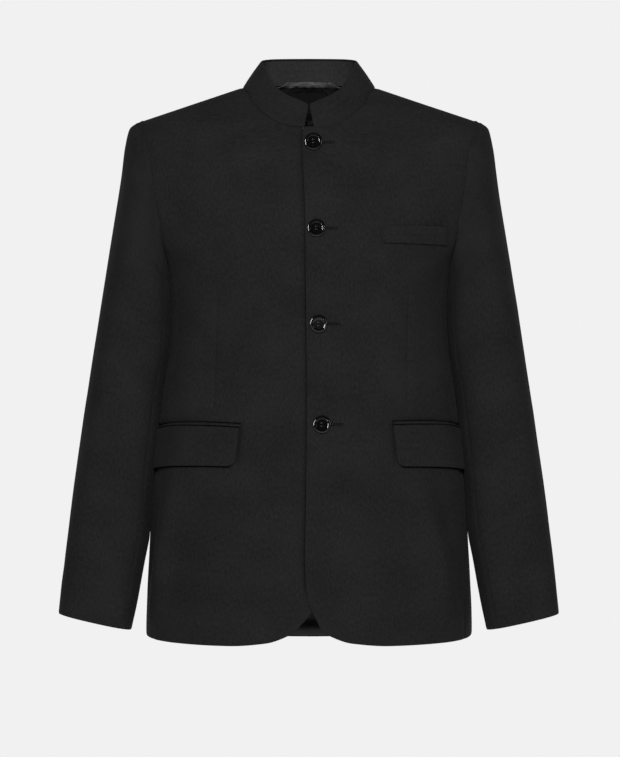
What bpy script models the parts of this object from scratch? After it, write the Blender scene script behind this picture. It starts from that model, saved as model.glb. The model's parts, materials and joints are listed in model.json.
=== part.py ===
"""A suit jacket with a stand collar and four buttons, hollow, filled out as if worn.

Metres, +Z up. The front faces -Y and the wearer's left side is +X. The origin is the
middle of the neck, level with the inner ends of the shoulder seams.

Every body panel is a stretch of one form: rings at each height, from the hem to the
ridge of the shoulders. A place on the form is a pair of numbers, the turn around the
body (0 at the centre front, 90 degrees at the side, 180 at the centre back) and the
height. Each panel fills the four curves of its cut edges, and gets its wall from the
form's own normals, so that neighbours stay a seam's gap apart right through the wall.
"""

from collections import namedtuple
import math

import bmesh
import bpy
from mathutils import Vector
import numpy as np

# Cloth and gaps
CLOTH = 0.0020          # wall of the body, sleeves and outer collar
LINING = 0.0010         # wall of the lining, tape and label
FACING = 0.0012         # wall of the inner collar
FLAP = 0.0018           # wall of the pocket flaps, jets and welt
SEAM = 0.0003           # gap between two sewn edges
ON_CLOTH = 0.0009       # clearance under a piece that lies on a panel
IN_CLOTH = 0.0007       # clearance between the back panels and their lining
LAP = 0.0015            # how far the fronts part, out and in, where one laps the other

# Shoulders and armholes
SHOULDER_Z = -0.0460    # height of the shoulder seam's outer end
NECK_SIDE_Z = 0.0010    # and of its inner end
ARMHOLE_BOTTOM = -0.2350
ARMHOLE_FRONT = 0.0685  # depth of the armhole in front of the shoulder seam
ARMHOLE_BACK = 0.0700
ARMHOLE_FORWARD = 0.0050  # the underarm lies this far forward of the shoulder seam
ARMHOLE_SQUARE_TOP = 2.2
ARMHOLE_SQUARE_BOTTOM = 2.7
ARMHOLE_STEPS = 16      # cloth facets around the armhole and the sleeve
UNDERARM = math.radians(135)  # the side panel's corner, around the armhole from the top
CAP_GAP = 0.0003        # from the armhole to the sleeve's edge at the shoulder point
UNDERARM_GAP = 0.0008   # and at the underarm

# The body's rings, from the hem up: side, front and back are the half width and the
# depths from the side line, and square is 2 for an ellipse and more for a fuller ring.
Ring = namedtuple("Ring", "z side front back square")
BODY = (
    Ring(-0.760, 0.2140, 0.1190, 0.1250, 2.40),
    Ring(-0.709, 0.2146, 0.1195, 0.1240, 2.40),
    Ring(-0.669, 0.2135, 0.1205, 0.1230, 2.40),
    Ring(-0.610, 0.2104, 0.1215, 0.1210, 2.40),
    Ring(-0.525, 0.2060, 0.1215, 0.1165, 2.40),
    Ring(-0.465, 0.2005, 0.1200, 0.1110, 2.40),
    Ring(-0.400, 0.1932, 0.1170, 0.1040, 2.40),
    Ring(-0.340, 0.1835, 0.1150, 0.1000, 2.40),
    Ring(-0.300, 0.1822, 0.1170, 0.1040, 2.40),
    Ring(-0.265, 0.1850, 0.1200, 0.1110, 2.40),
    Ring(-0.235, 0.1910, 0.1210, 0.1150, 2.40),
    Ring(-0.203, 0.2123, 0.1180, 0.1170, 2.40),
    Ring(-0.152, 0.2413, 0.1085, 0.1150, 2.40),
    Ring(-0.106, 0.2590, 0.0955, 0.1065, 2.40),
    Ring(-0.085, 0.2560, 0.0880, 0.1000, 2.38),
    Ring(-0.070, 0.2500, 0.0820, 0.0950, 2.36),
    Ring(-0.060, 0.2440, 0.0755, 0.0905, 2.34),
    Ring(-0.050, 0.2348, 0.0695, 0.0860, 2.33),
    Ring(-0.044, 0.2171, 0.0665, 0.0835, 2.32),
    Ring(-0.029, 0.1731, 0.0580, 0.0745, 2.30),
    Ring(-0.008, 0.1114, 0.0440, 0.0610, 2.30),
    Ring(0.001, 0.0849, 0.0370, 0.0550, 2.30),
    Ring(0.020, 0.0291, 0.0250, 0.0410, 2.30),
)

# Heights of the rows of facets up the side seams, from the hem to the underarm
SEAM_ROWS = (0.012, 0.028, 0.052, 0.090, 0.135, 0.180, 0.225, 0.270, 0.312, 0.352,
             0.390, 0.425, 0.455, 0.482)
SHOULDER_STEPS = 5      # rows of facets along the shoulder seam

# The hem's height around the body
Hem = namedtuple("Hem", "turn z")
HEM = (
    Hem(0.0, -0.6930), Hem(4.2, -0.7060), Hem(7.6, -0.7145), Hem(14.7, -0.7234),
    Hem(27.4, -0.7272), Hem(50.0, -0.7255), Hem(60.0, -0.7240), Hem(90.0, -0.7195),
    Hem(135.0, -0.7290), Hem(180.0, -0.7345), Hem(225.0, -0.7290), Hem(270.0, -0.7195),
)
SIDE_HEM_Z, BACK_HEM_Z = HEM[7].z, HEM[9].z
HEM_CORNER = 4.2        # turn at which the front edges' curve becomes the hem

# How far past the centre each front's edge runs, towards its own side if positive
Edge = namedtuple("Edge", "z x")
OVER_EDGE = (
    Edge(-0.7060, 0.0157), Edge(-0.6863, 0.0064), Edge(-0.6760, 0.0013),
    Edge(-0.6671, -0.0013), Edge(-0.6543, -0.0038), Edge(-0.6158, -0.0051),
    Edge(-0.5390, -0.0038), Edge(-0.4111, -0.0026), Edge(-0.2825, -0.0038),
    Edge(-0.1665, -0.0051), Edge(-0.1012, -0.0078), Edge(-0.0711, -0.0088),
    Edge(-0.0570, -0.0060),
)
UNDER_EDGE = (
    Edge(-0.7060, 0.0157), Edge(-0.6840, -0.0026), Edge(-0.6650, -0.0115),
    Edge(-0.6400, -0.0205), Edge(-0.6000, -0.0255), Edge(-0.5500, -0.0260),
    Edge(-0.3000, -0.0260), Edge(-0.0570, -0.0180),
)
LAP_FULL = 0.030        # the fronts keep their whole offset this far past the centre
LAP_GONE = 0.075        # and have none of it left here

# Depth of the two seams of the side panel, from the side line
Seam = namedtuple("Seam", "z front back")
SIDE_SEAMS = (
    Seam(-0.740, 0.0500, 0.0740), Seam(-0.450, 0.0480, 0.0660),
    Seam(-0.300, 0.0510, 0.0600), Seam(-0.2134, 0.0573, 0.0499),
)

# The neck: where the collar is sewn on, and where its top edge stands
Neck = namedtuple("Neck", "turn seam_z top_x top_y top_z")
NECK = (
    Neck(1.5, -0.0568, 0.0011, -0.0600, -0.0275),
    Neck(4.6, -0.0562, 0.0100, -0.0598, -0.0218),
    Neck(8.6, -0.0523, 0.0225, -0.0588, -0.0168),
    Neck(13.3, -0.0439, 0.0335, -0.0560, -0.0110),
    Neck(22.0, -0.0291, 0.0450, -0.0485, -0.0003),
    Neck(42.7, -0.0080, 0.0570, -0.0310, 0.0218),
    Neck(66.0, -0.0012, 0.0618, -0.0140, 0.0322),
    Neck(90.0, NECK_SIDE_Z, 0.0630, 0.0020, 0.0362),
    Neck(112.0, 0.0055, 0.0595, 0.0170, 0.0388),
    Neck(135.0, 0.0095, 0.0465, 0.0300, 0.0412),
    Neck(158.0, 0.0115, 0.0250, 0.0378, 0.0424),
    Neck(180.0, 0.0120, 0.0000, 0.0400, 0.0428),
)
FRONT_NECK_TURNS = (1.5, 4.6, 8.6, 13.3, 19.0, 26.0, 34.5, 44.0, 55.0, 66.5, 78.0, 90.0)
FACING_DROP = 0.0006    # the collar's inner side ends this far below its top edge
BACK_NECK_TURNS = (180.0, 169.0, 158.0, 147.0, 136.0, 124.0, 112.0, 101.0, 90.0)

# The wearer's left sleeve, from the armhole down: the outer and inner edge seen from
# the front, the depth of the tube's middle and its half depth. An inner edge beside
# the body is given as its clearance from the body's side.
Sleeve = namedtuple("Sleeve", "step outer_x outer_z clear inner_z mid_y depth")
SLEEVE = (
    Sleeve(0, 0.2233, -0.0461, 0.0020, -0.2346, -0.0020, 0.0690),
    Sleeve(1, 0.2325, -0.0530, 0.0058, -0.2412, -0.0010, 0.0692),
    Sleeve(2, 0.2405, -0.0790, 0.0062, -0.2490, 0.0000, 0.0698),
    Sleeve(3, 0.2465, -0.1150, 0.0056, -0.2580, 0.0015, 0.0702),
    Sleeve(4, 0.2545, -0.1640, 0.0050, -0.2690, 0.0030, 0.0700),
    Sleeve(5, 0.2628, -0.2140, 0.0044, -0.2830, 0.0045, 0.0690),
    Sleeve(6, 0.2705, -0.2620, 0.0038, -0.3030, 0.0055, 0.0672),
    Sleeve(7, 0.2785, -0.3130, 0.0036, -0.3340, 0.0055, 0.0645),
    Sleeve(8, 0.2872, -0.3690, 0.0036, -0.3810, 0.0035, 0.0612),
    Sleeve(9, 0.2960, -0.4290, 0.0036, -0.4380, -0.0010, 0.0575),
    Sleeve(10, 0.3045, -0.4900, 0.0034, -0.5000, -0.0075, 0.0538),
    Sleeve(11, 0.3125, -0.5520, 0.0026, -0.5640, -0.0150, 0.0500),
    Sleeve(12, 0.3190, -0.6080, 0.0042, -0.6220, -0.0220, 0.0462),
    Sleeve(13, 0.3237, -0.6510, 0.0100, -0.6680, -0.0275, 0.0430),
    Sleeve(14, 0.3275, -0.6900, 0.0178, -0.7115, -0.0320, 0.0402),
)
SLEEVE_SQUARE = 2.2
CAP_STEPS = 4.0         # the sleeve leaves the armhole's own line over these steps
FRONT_SLEEVE_SEAM = 6   # facets from the top of the armhole to the sleeve's seams
BACK_SLEEVE_SEAM = 5

# Pocket flaps, with their jets above: front edge at the top and bottom, the turn of
# the rear edge, and the top and bottom edges' heights at the front, middle and rear.
Flap = namedtuple("Flap", "name side top_x hem_x rear top_z hem_z")
FLAPS = (
    Flap("left", 1, 0.1085, 0.1130, 80.0, (-0.4438, -0.4440, -0.4505), (-0.4965, -0.4985, -0.5045)),
    Flap("right", -1, 0.0892, 0.0945, 80.0, (-0.4469, -0.4450, -0.4511), (-0.4965, -0.4967, -0.5030)),
)
JET_HEIGHT = 0.0054
FLAP_STEPS = 8

# Breast welt, on the wearer's left: edges and heights at its two ends
WELT_X = (0.0940, 0.1800)
WELT_TOP_Z = (-0.1875, -0.1865)
WELT_HEM_Z = (-0.2092, -0.2103)
WELT_STEPS = 5

# Buttons: place of each on the over front
BUTTON_PLACES = ((0.0058, -0.0791), (0.0096, -0.1911), (0.0126, -0.3133), (0.0167, -0.4425))
BUTTON_RADIUS = 0.0115
BUTTON_THICK = 0.0036
# Its turned profile, in shares of the radius and the thickness: well, rim and back
BUTTON_PROFILE = (
    (0.0, 0.62), (0.40, 0.62), (0.56, 0.78), (0.66, 1.0), (0.84, 1.0),
    (0.97, 0.72), (1.0, 0.42), (0.86, 0.06), (0.74, 0.0), (0.0, 0.0),
)
BUTTON_SEGMENTS = 28
HOLE_SEGMENTS = 10
BUTTON_HOLE_RADIUS = 0.0010
BUTTON_HOLE_SPREAD = 0.0019  # from the button's middle to each hole, along X and along Y
BUTTON_LIFT = 0.0006    # clearance between a button and the front

# Lining, tape and label inside the back
LINING_HEM = 0.0080     # the lining ends this far above the back's hem
LINING_TOP = 0.0022     # and this far below the neck seam
LINING_SIDE = 1         # columns of the back panel it leaves bare at each side
LINING_SKIPS = (1, 2, 4, 6, 8)  # rows of the back panel that it does without
ON_LINING = 0.0010      # clearance between the lining and what is sewn on it
TAPE_TURN = 33.0        # half the tape's sweep about the centre back
TAPE_Z = (0.0035, 0.0105)
LABEL_TURN = 15.0
LABEL_Z = (-0.0240, 0.0010)

# Hook and eye at the collar's base
HOOK_Z = (-0.0552, -0.0492)
HOOK_Y = -0.0655        # the outer side of the hook's plate
HOOK_PLATE = 0.0007
HOOK_BEND = 0.0011      # inner radius of the hook's bend
HOOK_X = (-0.0014, 0.0095)  # the middle of the bend, and the plate's end
HOOK_TONGUE = 0.0022    # from the bend's middle to the tip of the hook
EYE_WIRE = 0.00045      # radius of the eye's wire
EYE_REACH = 0.0105      # from the hook's bend to the eye's far side
EYE_OVER = 0.0012       # how much higher and lower than the hook the eye is
EYE_CORNER = 0.0016

DEGREE = math.pi / 180
MERGE = 0.00001         # points closer than this are one


def smooth(table, column, at):
    """A cubic that never overshoots, through one named column, read by the first."""
    known = np.array([row[0] for row in table], dtype=float)
    value = np.array([getattr(row, column) for row in table], dtype=float)
    at = np.clip(at, known[0], known[-1])
    gap = np.diff(known)
    slope = np.diff(value) / gap
    same_way = slope[:-1] * slope[1:] > 0
    total = np.where(same_way, slope[:-1] + slope[1:], 1.0)
    bend = np.where(same_way, 2 * slope[:-1] * slope[1:] / total, 0.0)
    tangent = np.concatenate(([slope[0]], bend, [slope[-1]]))
    cell = np.clip(np.searchsorted(known, at, side="right") - 1, 0, len(gap) - 1)
    u = (at - known[cell]) / gap[cell]
    rise = u * u * (3 - 2 * u)
    return (
        value[cell] * (1 - rise) + value[cell + 1] * rise
        + gap[cell] * u * (1 - u) * ((1 - u) * tangent[cell] - u * tangent[cell + 1])
    )


def fade(value, full, gone):
    """1 up to full, 0 past gone, and a smooth step between them."""
    u = np.clip((value - full) / (gone - full), 0, 1)
    return 1 - u * u * (3 - 2 * u)


# The form

def body(turn, z):
    """Outer side of the body at a turn in degrees and a height."""
    turn, z = np.broadcast_arrays(np.asarray(turn, float), np.asarray(z, float))
    s, c = np.sin(turn * DEGREE), np.cos(turn * DEGREE)
    square = smooth(BODY, "square", z)
    depth = np.where(c > 0, smooth(BODY, "front", z), smooth(BODY, "back", z))
    reach = (np.abs(s) ** square + np.abs(c) ** square) ** (-1 / square)
    return np.stack([smooth(BODY, "side", z) * s * reach, -depth * c * reach, z], axis=-1)


def turn_from(part, rest):
    """Turn in degrees whose share of the half width is part, by the ring's squareness."""
    share = np.clip(np.abs(part), 0, 1) ** rest
    return np.arctan2(share ** (1 / rest), np.maximum(1 - share, 0) ** (1 / rest)) / DEGREE


def turn_at_x(x, z):
    """Turn on the front at which the form's half width is x."""
    return np.sign(x) * turn_from(x / smooth(BODY, "side", z), smooth(BODY, "square", z))


def turn_at_depth(depth, z, column):
    """Turn at which the form lies depth before or behind the side line."""
    to_side = 90 - turn_from(depth / smooth(BODY, column, z), smooth(BODY, "square", z))
    return to_side if column == "front" else 180 - to_side


def unit(vectors):
    return vectors / np.linalg.norm(vectors, axis=-1, keepdims=True)


def form_normals(surface, across, along):
    """Unit normals of a surface function of two coordinates, by small differences."""
    step_across, step_along = 0.05, 0.0002
    d_across = surface(across + step_across, along) - surface(across - step_across, along)
    d_along = surface(across, along + step_along) - surface(across, along - step_along)
    return unit(np.cross(d_across, d_along))


def coons(bottom, top, inner, outer):
    """Fill four curves of (turn, height) pairs; rows go up and columns go outwards."""
    up = (outer[:, 1] - outer[0, 1]) / (outer[-1, 1] - outer[0, 1])
    up = up[:, None, None]
    out = np.linspace(0, 1, len(bottom))[None, :, None]
    sides = (1 - out) * inner[:, None] + out * outer[:, None]
    ends = (1 - up) * bottom[None] + up * top[None]
    corners = (1 - up) * ((1 - out) * bottom[0] + out * bottom[-1])
    corners = corners + up * ((1 - out) * top[0] + out * top[-1])
    return sides + ends - corners


def pairs(turn, z):
    return np.stack(np.broadcast_arrays(np.asarray(turn, float), np.asarray(z, float)), axis=-1)


# Cut edges

def armhole_depth(z):
    """Depth of the armhole's front and back edges at a height."""
    middle = (SHOULDER_Z + ARMHOLE_BOTTOM) / 2
    half = (SHOULDER_Z - ARMHOLE_BOTTOM) / 2
    share = (z - middle) / half
    square = np.where(share > 0, ARMHOLE_SQUARE_TOP, ARMHOLE_SQUARE_BOTTOM)
    width = np.maximum(1 - np.abs(share) ** square, 0) ** (1 / square)
    forward = ARMHOLE_FORWARD * (1 - share) / 2
    return ARMHOLE_FRONT * width + forward, ARMHOLE_BACK * width - forward


def armhole_height(around):
    """Height of the armhole at an angle around it, from 0 at the shoulder point."""
    s, c = np.abs(np.sin(around)), np.cos(around)
    square = np.where(c > 0, ARMHOLE_SQUARE_TOP, ARMHOLE_SQUARE_BOTTOM)
    reach = (s ** square + np.abs(c) ** square) ** (-1 / square)
    return (SHOULDER_Z + ARMHOLE_BOTTOM) / 2 + (SHOULDER_Z - ARMHOLE_BOTTOM) / 2 * c * reach


def armhole_place(around):
    """(turn, height) of the armhole at an angle around it; the front is 0 to pi."""
    around = np.asarray(around, float)
    z = armhole_height(around)
    front, back = armhole_depth(z)
    before = np.where(np.sin(around) > 0, front, -back)
    turn = np.where(
        before > 0,
        turn_at_depth(np.maximum(before, 0), z, "front"),
        turn_at_depth(np.maximum(-before, 0), z, "back"),
    )
    return pairs(turn, z)


def outer_edge(column):
    """Side seam, armhole and shoulder seam of a front or back, from the hem up."""
    way = 1 if column == "front" else -1
    hem = seam_bottom(column)
    rows = hem[1] + np.concatenate(([0.0], SEAM_ROWS))
    seam = seam_line(column, rows)
    steps = int(round(UNDERARM / (2 * math.pi) * ARMHOLE_STEPS))
    around = way * np.linspace(UNDERARM, 0, steps + 1)
    armhole = armhole_place(around)
    armhole[-1] = (90, SHOULDER_Z)
    heights = np.linspace(SHOULDER_Z, NECK_SIDE_Z, SHOULDER_STEPS + 1)[1:]
    return np.concatenate((seam, armhole, pairs(90, heights)))


def seam_line(column, z):
    turns = turn_at_depth(smooth(SIDE_SEAMS, column, z), z, column)
    return pairs(turns, z)


def seam_bottom(column):
    """(turn, height) where a side seam meets the hem."""
    z = SIDE_HEM_Z
    for _ in range(3):
        turn = seam_line(column, z)[0]
        z = float(smooth(HEM, "z", turn))
    return turn, z


# Walls

def wall(points, normals, outside, thick):
    """Outer and inner points of a wall whose outer side stands off the form."""
    return points + normals * outside, points + normals * (outside - thick)


def draw_in(sheet, gap, sides):
    """Pull the named edges of a grid of points in by half a seam's gap."""
    sheet = sheet.copy()
    edges = {
        "bottom": (np.s_[0, :], np.s_[1, :]), "top": (np.s_[-1, :], np.s_[-2, :]),
        "inner": (np.s_[:, 0], np.s_[:, 1]), "outer": (np.s_[:, -1], np.s_[:, -2]),
    }
    moves = [(edges[s][0], gap * unit(sheet[edges[s][1]] - sheet[edges[s][0]])) for s in sides]
    for place, move in moves:
        sheet[place] += move
    return sheet


def new_object(name, mesh, finish):
    mesh.materials.append(finish)
    made = bpy.data.objects.new(name, mesh)
    jacket.objects.link(made)
    return made


def cloth(name, outer, inner, finish):
    """One closed wall between two grids of points: two grids bridged at the rim."""
    rows, columns = outer.shape[:2]
    build = bmesh.new()
    for sheet in (outer, inner):
        made = bmesh.ops.create_grid(build, x_segments=columns - 1, y_segments=rows - 1, size=1)
        for vertex, point in zip(made["verts"], sheet.reshape(-1, 3)):
            vertex.co = point
    rim = [edge for edge in build.edges if edge.is_boundary]
    bmesh.ops.bridge_loops(build, edges=rim)
    bmesh.ops.recalc_face_normals(build, faces=build.faces)
    bmesh.ops.triangulate(build, faces=build.faces, quad_method="SHORT_EDGE")
    mesh = bpy.data.meshes.new(name)
    build.to_mesh(mesh)
    build.free()
    return new_object(name, mesh, finish)


def mirrored(sheet, side):
    return sheet * (side, 1, 1)


def panel(name, places, side, gaps, finish, lap=0.0):
    """A body panel from its (turn, height) grid."""
    points = body(places[..., 0], places[..., 1])
    normals = form_normals(body, places[..., 0], places[..., 1])
    outside = lap * fade(points[..., :1], LAP_FULL, LAP_GONE)
    sheets = wall(points, normals, outside, CLOTH)
    outer, inner = (mirrored(draw_in(sheet, SEAM / 2, gaps), side) for sheet in sheets)
    return cloth(name, outer, inner, finish)


def front_places(edge):
    """Grid of a front: hem, neck, front edge, and side seam to shoulder."""
    outer = outer_edge("front")
    up = (outer[:, 1] - outer[0, 1]) / (outer[-1, 1] - outer[0, 1])
    corner_z = float(smooth(HEM, "z", HEM_CORNER))
    top_z = NECK[0].seam_z
    z = corner_z + (top_z - corner_z) * up
    inner = pairs(turn_at_x(smooth(edge, "x", z), z), z)
    inner[0, 0] = HEM_CORNER
    turns = np.concatenate(([inner[-1, 0]], FRONT_NECK_TURNS))
    top = pairs(turns, smooth(NECK, "seam_z", turns))
    turns = np.linspace(HEM_CORNER, outer[0, 0], len(turns))
    bottom = pairs(turns, smooth(HEM, "z", turns))
    return coons(bottom, top, inner, outer)


def back_places():
    """Grid of a back half: hem, neck, centre back seam, and side seam to shoulder."""
    outer = outer_edge("back")
    up = (outer[:, 1] - outer[0, 1]) / (outer[-1, 1] - outer[0, 1])
    inner = pairs(180, BACK_HEM_Z + (NECK[-1].seam_z - BACK_HEM_Z) * up)
    top = pairs(BACK_NECK_TURNS, smooth(NECK, "seam_z", np.array(BACK_NECK_TURNS)))
    turns = np.linspace(180, outer[0, 0], len(top))
    bottom = pairs(turns, smooth(HEM, "z", turns))
    return coons(bottom, top, inner, outer)


def side_places():
    """Grid of a side panel: hem, underarm, and the seams to the front and back."""
    rows = len(SEAM_ROWS) + 2
    inner, outer = outer_edge("front")[:rows], outer_edge("back")[:rows]
    steps = int(round((2 * math.pi - 2 * UNDERARM) / (2 * math.pi) * ARMHOLE_STEPS))
    around = np.linspace(UNDERARM, 2 * math.pi - UNDERARM, steps + 1)
    top = armhole_place(around)
    turns = np.linspace(inner[0, 0], outer[0, 0], steps + 1)
    bottom = pairs(turns, smooth(HEM, "z", turns))
    return coons(bottom, top, inner, outer)


# Sleeves

def sleeve(around, step):
    """Outer side of the left sleeve; around is in degrees, 0 at the shoulder point,
    90 at the front and 180 at the underarm, and step counts down from the armhole."""
    around, step = np.broadcast_arrays(np.asarray(around, float), np.asarray(step, float))
    angle = around * DEGREE
    s, c = np.sin(angle), np.cos(angle)
    reach = (np.abs(s) ** SLEEVE_SQUARE + np.abs(c) ** SLEEVE_SQUARE) ** (-1 / SLEEVE_SQUARE)
    inner_z = smooth(SLEEVE, "inner_z", step)
    inner_x = smooth(BODY, "side", inner_z) + smooth(SLEEVE, "clear", step)
    outer_x, outer_z = smooth(SLEEVE, "outer_x", step), smooth(SLEEVE, "outer_z", step)
    along = c * reach / 2
    ring = np.stack([
        (outer_x + inner_x) / 2 + (outer_x - inner_x) * along,
        smooth(SLEEVE, "mid_y", step) - smooth(SLEEVE, "depth", step) * s * reach,
        (outer_z + inner_z) / 2 + (outer_z - inner_z) * along,
    ], axis=-1)
    return ring + cap_shift(angle) * fade(step, 0, CAP_STEPS)[..., None]


def cap_shift(angle):
    """From the sleeve's first ring to the armhole, a seam's gap outside the body."""
    places = armhole_place(angle)
    points = body(places[..., 0], places[..., 1])
    normals = form_normals(body, places[..., 0], places[..., 1])
    s, c = np.sin(angle), np.cos(angle)
    reach = (np.abs(s) ** SLEEVE_SQUARE + np.abs(c) ** SLEEVE_SQUARE) ** (-1 / SLEEVE_SQUARE)
    first = SLEEVE[0]
    inner_x = float(smooth(BODY, "side", first.inner_z)) + first.clear
    ring = np.stack([
        (first.outer_x + inner_x) / 2 + (first.outer_x - inner_x) / 2 * c * reach,
        first.mid_y - first.depth * s * reach,
        (first.outer_z + first.inner_z) / 2 + (first.outer_z - first.inner_z) / 2 * c * reach,
    ], axis=-1)
    under = ((1 - c) / 2)[..., None]
    away = normals * UNDERARM_GAP * under + np.array([CAP_GAP, 0, 0])
    return points + away - ring


def sleeve_normals(around, step):
    """Unit normals out of the tube; at the shoulder point its edge leans as the body's."""
    turn, move = 0.5, 0.02
    d_around = sleeve(around + turn, step) - sleeve(around - turn, step)
    low, high = np.maximum(step - move, 0), step + move
    d_step = sleeve(around, high) - sleeve(around, low)
    places = armhole_place(around * DEGREE)
    beside = form_normals(body, places[..., 0], places[..., 1])
    lean = (fade(step, 0, 1) * (1 + np.cos(around * DEGREE)) / 2)[..., None]
    return unit(unit(np.cross(d_around, d_step)) * (1 - lean) + beside * lean)


def sleeve_piece(name, first, last, side, finish):
    """Top or under sleeve, between two facets counted around the armhole."""
    around = np.arange(first, last + 1) * 360.0 / ARMHOLE_STEPS
    steps = np.array([row.step for row in SLEEVE], float)[::-1]
    around, steps = np.meshgrid(around, steps)
    points = sleeve(around, steps)
    normals = sleeve_normals(around, steps)
    sheets = wall(points, normals, 0.0, CLOTH)
    gaps = ("inner", "outer")
    outer, inner = (mirrored(draw_in(sheet, SEAM / 2, gaps), side) for sheet in sheets)
    return cloth(name, outer, inner, finish)


# Collar

def collar_frame(turns):
    """Base and top points of the collar's outer side, with their outward normals."""
    half = np.where(turns > 180, 360 - turns, turns)
    sign = np.where(turns > 180, -1.0, 1.0)
    base = body(turns, smooth(NECK, "seam_z", half))
    top = np.stack([
        smooth(NECK, "top_x", half) * sign,
        smooth(NECK, "top_y", half),
        smooth(NECK, "top_z", half),
    ], axis=-1)
    rise = unit(top - base)
    normals = [unit(np.cross(np.gradient(line, axis=0), rise)) for line in (base, top)]
    return base, top, rise, normals


def collar_strip(name, outside, thick, lower, finish):
    """A wall that follows the collar, outside is how far it stands off its outer side."""
    front = np.array(FRONT_NECK_TURNS)
    half = np.concatenate((front, BACK_NECK_TURNS[-2::-1]))
    turns = np.concatenate((half, 360 - half[-2::-1]))
    base, top, rise, normals = collar_frame(turns)
    points = np.stack([base + rise * SEAM, top - rise * lower])
    outer, inner = wall(points, np.stack(normals), outside, thick)
    return cloth(name, outer, inner, finish)


# Pieces on the panels

def strip(name, side, turns, low, high, outside, thick, finish):
    """A wall on the form: turns and heights of its lower and upper edge."""
    turns = np.stack(turns)
    heights = np.stack((low, high))
    narrow = np.max(high - low) < 2 * JET_HEIGHT
    rows = np.linspace(0, 1, 2 if narrow else 3)[:, None]
    turn = turns[:1] * (1 - rows) + turns[1:] * rows
    z = heights[:1] * (1 - rows) + heights[1:] * rows
    points, normals = body(turn, z), form_normals(body, turn, z)
    outer, inner = (mirrored(sheet, side) for sheet in wall(points, normals, outside, thick))
    return cloth(name, outer, inner, finish)


def bowed(ends, count):
    """A parabola through a front, middle and rear value."""
    front, middle, rear = ends
    u = np.linspace(0, 1, count)
    return front + u * (4 * middle - 3 * front - rear) + u * u * 2 * (front + rear - 2 * middle)


def pocket(flap, finish):
    count = FLAP_STEPS + 1
    top, hem = bowed(flap.top_z, count), bowed(flap.hem_z, count)
    share = np.linspace(0, 1, count)
    first_top = float(turn_at_x(flap.top_x, top[0]))
    first_hem = float(turn_at_x(flap.hem_x, hem[0]))
    top_turns = first_top + (flap.rear - first_top) * share
    hem_turns = first_hem + (flap.rear - first_hem) * share
    outside = ON_CLOTH + FLAP
    strip("flap_" + flap.name, flap.side, (hem_turns, top_turns), hem, top, outside, FLAP, finish)
    low, high = top + SEAM, top + SEAM + JET_HEIGHT
    turns = (top_turns, top_turns)
    strip("jet_" + flap.name, flap.side, turns, low, high, outside, FLAP, finish)


def breast_welt(finish):
    share = np.linspace(0, 1, WELT_STEPS + 1)
    low = WELT_HEM_Z[0] + (WELT_HEM_Z[1] - WELT_HEM_Z[0]) * share
    high = WELT_TOP_Z[0] + (WELT_TOP_Z[1] - WELT_TOP_Z[0]) * share
    x = WELT_X[0] + (WELT_X[1] - WELT_X[0]) * share
    turns = (turn_at_x(x, low), turn_at_x(x, high))
    strip("breast_welt", 1, turns, low, high, ON_CLOTH + FLAP, FLAP, finish)


def inside_strip(name, half_turn, heights, outside, finish):
    """A short strip inside the back of the neck."""
    columns = [t - 180 for t in BACK_NECK_TURNS if t > 180 - half_turn]
    turns = 180 + np.array(sorted({-half_turn, half_turn, *columns, *(-t for t in columns)}))
    low, high = (np.full(len(turns), z) for z in heights)
    strip(name, 1, (turns, turns), low, high, outside, LINING, finish)


def back_lining(places, finish):
    """Lining on the same grid as the two back halves, inside them."""
    half = np.delete(places[:, : places.shape[1] - LINING_SIDE], LINING_SKIPS, axis=0)
    half[0, :, 1] += LINING_HEM
    half[-1, :, 1] -= LINING_TOP
    other = half[:, :0:-1] * (-1, 1) + (360, 0)
    grid = np.concatenate((other, half), axis=1)
    points, normals = body(grid[..., 0], grid[..., 1]), form_normals(body, grid[..., 0], grid[..., 1])
    outer, inner = wall(points, normals, -(CLOTH + IN_CLOTH), LINING)
    return cloth("back_lining", outer, inner, finish)


# Hard pieces

def button(name, x, z, finish):
    """A turned button with a raised rim and a dished well, drilled with four holes."""
    build = bmesh.new()
    places = [(r * BUTTON_RADIUS, 0, h * BUTTON_THICK) for r, h in BUTTON_PROFILE]
    points = [build.verts.new(place) for place in places]
    for first, second in zip(points, points[1:]):
        build.edges.new((first, second))
    mesh = bpy.data.meshes.new(name)
    build.to_mesh(mesh)
    build.free()
    made = new_object(name, mesh, finish)
    turned = made.modifiers.new("turned", "SCREW")
    turned.steps = turned.render_steps = BUTTON_SEGMENTS
    turned.use_merge_vertices = True
    turned.merge_threshold = MERGE
    drill = made.modifiers.new("holes", "BOOLEAN")
    drill.operation = "DIFFERENCE"
    drill.operand_type = "COLLECTION"
    drill.collection = holes_for(name)
    made.location, made.rotation_euler = button_seat(x, z)
    for cutter in drill.collection.objects:
        cutter.parent = made
    return made


def holes_for(name):
    """Four cutters through a button, in the cutters' collection."""
    group = bpy.data.collections.new(name + "_holes")
    cutters.children.link(group)
    for sx, sy in ((-1, -1), (-1, 1), (1, -1), (1, 1)):
        build = bmesh.new()
        bmesh.ops.create_cone(
            build, cap_ends=True, segments=HOLE_SEGMENTS, radius1=BUTTON_HOLE_RADIUS,
            radius2=BUTTON_HOLE_RADIUS, depth=4 * BUTTON_THICK,
        )
        mesh = bpy.data.meshes.new(name + "_hole")
        build.to_mesh(mesh)
        build.free()
        cutter = bpy.data.objects.new(name + "_hole", mesh)
        cutter.location = (sx * BUTTON_HOLE_SPREAD, sy * BUTTON_HOLE_SPREAD, 0)
        cutter.hide_render = True
        cutter.display_type = "WIRE"
        group.objects.link(cutter)
    return group


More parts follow.
